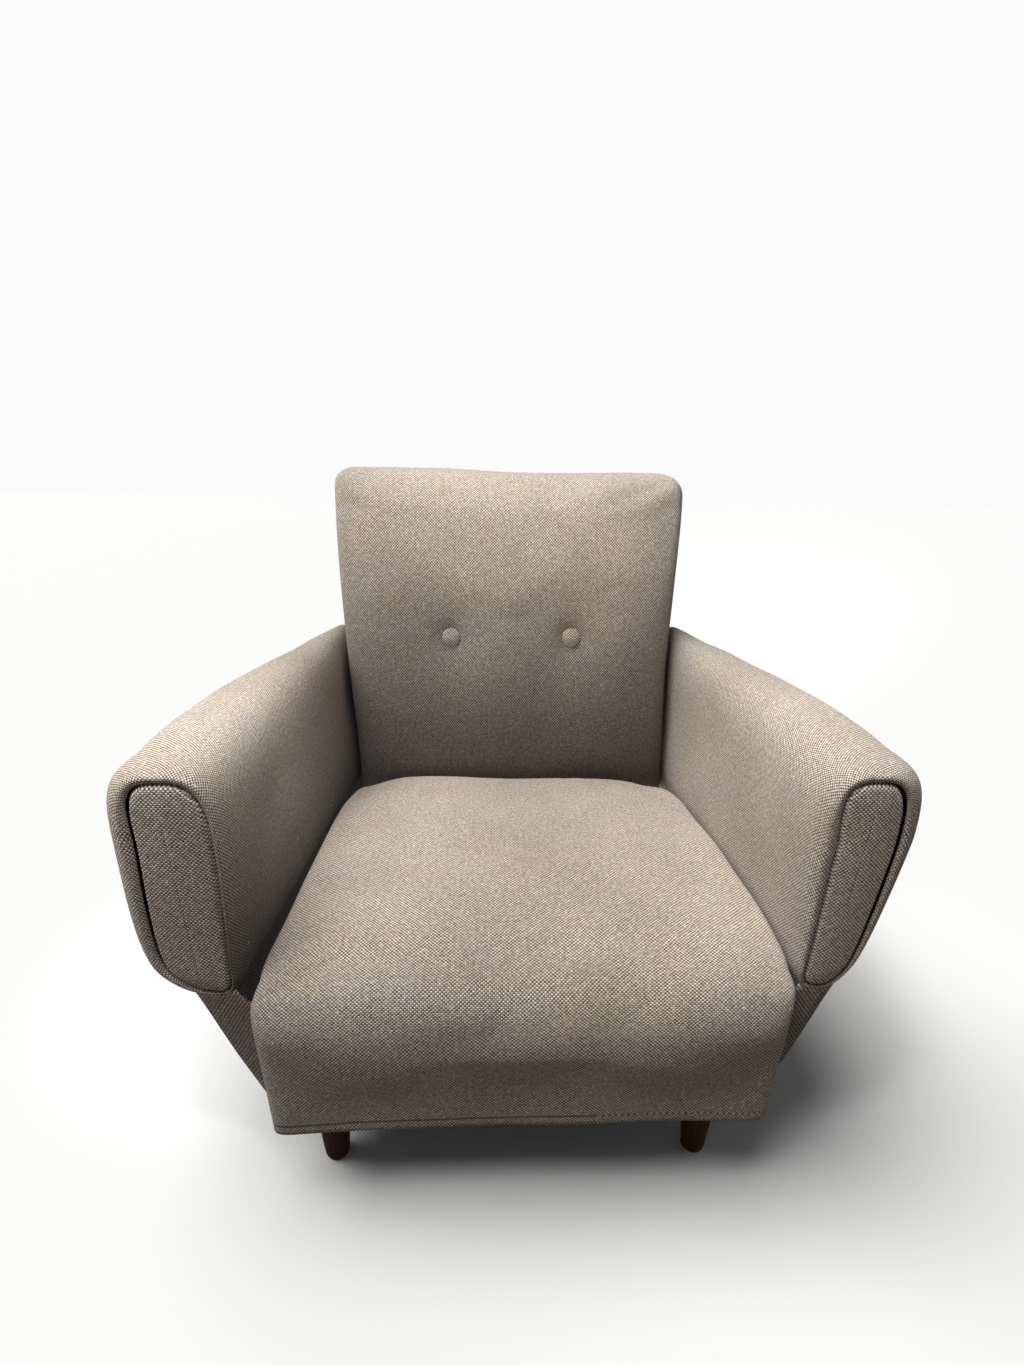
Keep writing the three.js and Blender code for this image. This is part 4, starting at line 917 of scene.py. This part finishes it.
for side_name, right in (("left", False), ("right", True)):
    points = side_sheet(right)
    grid = numbered(points)
    faces = quads(grid if right else grid[::-1])[:, ::-1]
    round_corner = abs(points[..., 0]) - abs(points[:, RETURN_STEPS - 1 : RETURN_STEPS, 0])
    along = points[..., 1] + np.where(np.arange(grid.shape[1]) < RETURN_STEPS, round_corner, 0)
    uv = np.stack([along, points[..., 2]], -1).reshape(-1, 2)
    # Painted shade darkens each panel towards its front, under the arm.
    painted_shade = 0.7 * (1 - smooth(points[..., 1].ravel(), 0.05, 0.35))
    panel = make_piece(f"side_cloth_{side_name}", points.reshape(-1, 3), faces, uv[faces], painted_shade=painted_shade)
    thicken(panel, levels=0)
    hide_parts(f"side_panel_{side_name}")


# Outside back: a flat sheet of tweed from the underside to the top edge, slip-stitched down both sides.
# It was cut from one width of cloth and pulled tight over the posts.

OUTSIDE_TOP = BACK_RISE - 0.008


def outside_back():
    """A grid across the rear: its half width follows the back above the arms and the arms' ends below,
    and its top corners are rounded as the back's are."""
    up = np.linspace(0, 1, 70)[None, :]
    across = np.linspace(-1, 1, 60)[:, None]
    z = mix(-APRON_DROP, OUTSIDE_TOP, up)
    low = mix(0.258, 0.283, smooth(z, -0.19, -0.03))
    half = mix(low, back_side(z, across > 0) - 0.006, smooth(z, 0.16, 0.22))
    inwards = (1 - np.abs(across)) * half
    beneath = OUTSIDE_TOP - z + 0 * across
    inwards, beneath = round_edge(inwards, beneath, np.where(across > 0, 0.026, 0.017))
    x = np.sign(across) * (half - inwards)
    z = OUTSIDE_TOP - beneath + (back_top(x) - BACK_RISE) * smooth(z, 0.30, BACK_RISE)
    slack = 0.0015 * np.sin(np.pi * up) * (1 - across**2)
    return np.stack([x, back_rear(z) + 0.0035 - slack, z], -1)


points = outside_back()
faces = quads(numbered(points)[::-1])
uv = points.reshape(-1, 3)[:, [0, 2]]
rear = thicken(make_piece("outside_back_cloth", points.reshape(-1, 3), faces, uv[faces]), levels=0)
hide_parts("outside_back_panel")


# Buttons: domed metal shells covered in the same tweed, drawn into the back on a tuft of twine. The
# dome's rise and reach are a sine and a cosine of the climb, and below its widest ring it turns under.

BUTTON_DOME = 0.0072
BUTTON_SKIRT = 0.003
BUTTON_SINK = 0.0075
TURNS = 32
CLIMBS = 14

for side_name, (bx, bz) in BUTTONS.items():
    turn = np.linspace(0, 2 * np.pi, TURNS + 1)[:-1][:, None]
    climb = np.linspace(-0.5, 1, CLIMBS)[None, :] * np.pi / 2
    reach = BUTTON_RADIUS * np.where(climb < 0, np.cos(climb) ** 0.5, np.cos(climb) ** 0.8)
    reach[:, -1] = 0
    rise = np.where(climb < 0, BUTTON_SKIRT * np.sin(climb), BUTTON_DOME * np.sin(climb))
    dome_x = reach * np.cos(turn)
    dome_z = reach * np.sin(turn)
    lean = math.atan(FRONT_LEAN)
    sunk_y = float(back_front(np.array(bx), np.array(bz))) - BUTTON_SINK
    points = np.stack(
        [
            bx + dome_x,
            sunk_y - rise * math.cos(lean) + dome_z * math.sin(lean),
            bz + dome_z * math.cos(lean) + rise * math.sin(lean),
        ],
        -1,
    ).reshape(-1, 3)
    grid = np.arange(len(points)).reshape(TURNS, CLIMBS)
    grid = np.concatenate([grid, grid[:1]])
    faces = quads(grid[::-1])
    uv = np.stack([dome_x + 0 * climb, dome_z + 0 * climb], -1).reshape(-1, 2)
    button = make_piece(f"button_{side_name}", points, faces, uv[faces])
    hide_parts(f"back_button_{side_name}")


# Studio: a plain pale floor, an even pale surround and one broad soft lamp from above, to the left. Soft
# spots lift the two arms and the upper back. The camera stands where the photographer stood, looking
# down into the seat.

FLOOR_HALF = 8.0
corners = [(x * FLOOR_HALF, y * FLOOR_HALF, 0) for x, y in ((-1, -1), (1, -1), (1, 1), (-1, 1))]
floor_mesh = bpy.data.meshes.new("floor")
floor_mesh.from_pydata(corners, [], [(0, 1, 2, 3)])
floor = add_object("floor", floor_mesh)
paper, paper_tree, paper_shader = new_material("white studio paper", 0.9)
seen = node(paper_tree, "LightPath").outputs["Is Camera Ray"]
paper_tones = {"Factor": seen, "A": colour("#46423c"), "B": colour("#e2e3e4")}
fill(paper_shader, {"Base Color": node(paper_tree, "Mix", paper_tones, data_type="RGBA")})
floor.data.materials.append(paper)

world = bpy.data.worlds.new("pale surround")
bpy.context.scene.world = world
world.use_nodes = True
surround = world.node_tree
surround.nodes.clear()
path = node(surround, "LightPath").outputs
direct = node(surround, "Math", {0: path["Is Camera Ray"], 1: path["Is Glossy Ray"]}, operation="MAXIMUM")
shown = node(surround, "Math", {0: direct, 1: path["Is Transmission Ray"]}, operation="MAXIMUM")
ambient = node(surround, "Background", {"Color": colour("#ffffff"), "Strength": 0.10})
white = node(surround, "Background", {"Color": colour("#fbfbfb"), "Strength": 1.0})
chosen = node(surround, "MixShader", {"Fac": shown, 1: ambient, 2: white})
node(surround, "OutputWorld", {"Surface": chosen})

lamp_data = bpy.data.lights.new("soft lamp", "SUN")
lamp_data.energy = 3.9
lamp_data.angle = math.radians(50)
lamp_data.color = (1.0, 0.985, 0.96)
lamp = add_object("soft lamp", lamp_data)
lamp.rotation_mode = "QUATERNION"
lamp.rotation_quaternion = Vector((-0.37, 0.03, 0.92)).to_track_quat("Z", "Y")

# Each spot's strength in watts, cone in degrees, radius, place, and the point that it is aimed at.
SPOTS = {
    "spot on the left arm": (70, 22, 0.15, (-0.22, -0.6, 1.6), (-0.33, -0.16, 0.52)),
    "spot on the right arm": (45, 22, 0.15, (-0.1, -0.6, 1.6), (0.33, -0.16, 0.52)),
    "spot on the back": (360, 25, 0.25, (-0.9, -1.6, 1.7), (0.0, 0.30, 1.0)),
}
for name, (watts, cone, radius, place, aim) in SPOTS.items():
    spot = bpy.data.lights.new(name, "SPOT")
    spot.energy = watts
    spot.spot_size = math.radians(cone)
    spot.spot_blend = 1.0
    spot.shadow_soft_size = radius
    hung = add_object(name, spot)
    hung.location = place
    hung.rotation_mode = "QUATERNION"
    hung.rotation_quaternion = (hung.location - Vector(aim)).to_track_quat("Z", "Y")

# The camera: its lens and shift in the photograph's pixels, its place in metres and its turns.
PHOTO_WIDTH = 1024
PHOTO_HEIGHT = 1365
FOCAL_PIXELS = 752.3
CENTRE_PIXEL = (513.7, 746.5)
CAMERA_PLACE = (-0.0396, -0.9549, 0.8279)
YAW = math.radians(2.40)
PITCH = math.radians(23.44)
ROLL_ANGLE = math.radians(-0.99)
SENSOR = 36.0
forward = Vector((math.sin(YAW) * math.cos(PITCH), math.cos(YAW) * math.cos(PITCH), -math.sin(PITCH)))
level = Vector((math.cos(YAW), -math.sin(YAW), 0))
down = forward.cross(level)
right_axis = math.cos(ROLL_ANGLE) * level + math.sin(ROLL_ANGLE) * down
down_axis = -math.sin(ROLL_ANGLE) * level + math.cos(ROLL_ANGLE) * down
camera_data = bpy.data.cameras.new("camera")
camera_data.sensor_width = SENSOR
camera_data.lens = FOCAL_PIXELS * SENSOR / PHOTO_HEIGHT
camera_data.shift_x = (PHOTO_WIDTH / 2 - CENTRE_PIXEL[0]) / PHOTO_HEIGHT
camera_data.shift_y = (CENTRE_PIXEL[1] - PHOTO_HEIGHT / 2) / PHOTO_HEIGHT
camera_data.clip_start = 0.05
camera = add_object("camera", camera_data)
turned = Matrix((right_axis, -down_axis, -forward)).transposed()
camera.matrix_world = Matrix.Translation(CAMERA_PLACE) @ turned.to_4x4()
bpy.context.scene.camera = camera
bpy.context.scene.view_settings.view_transform = "Standard"
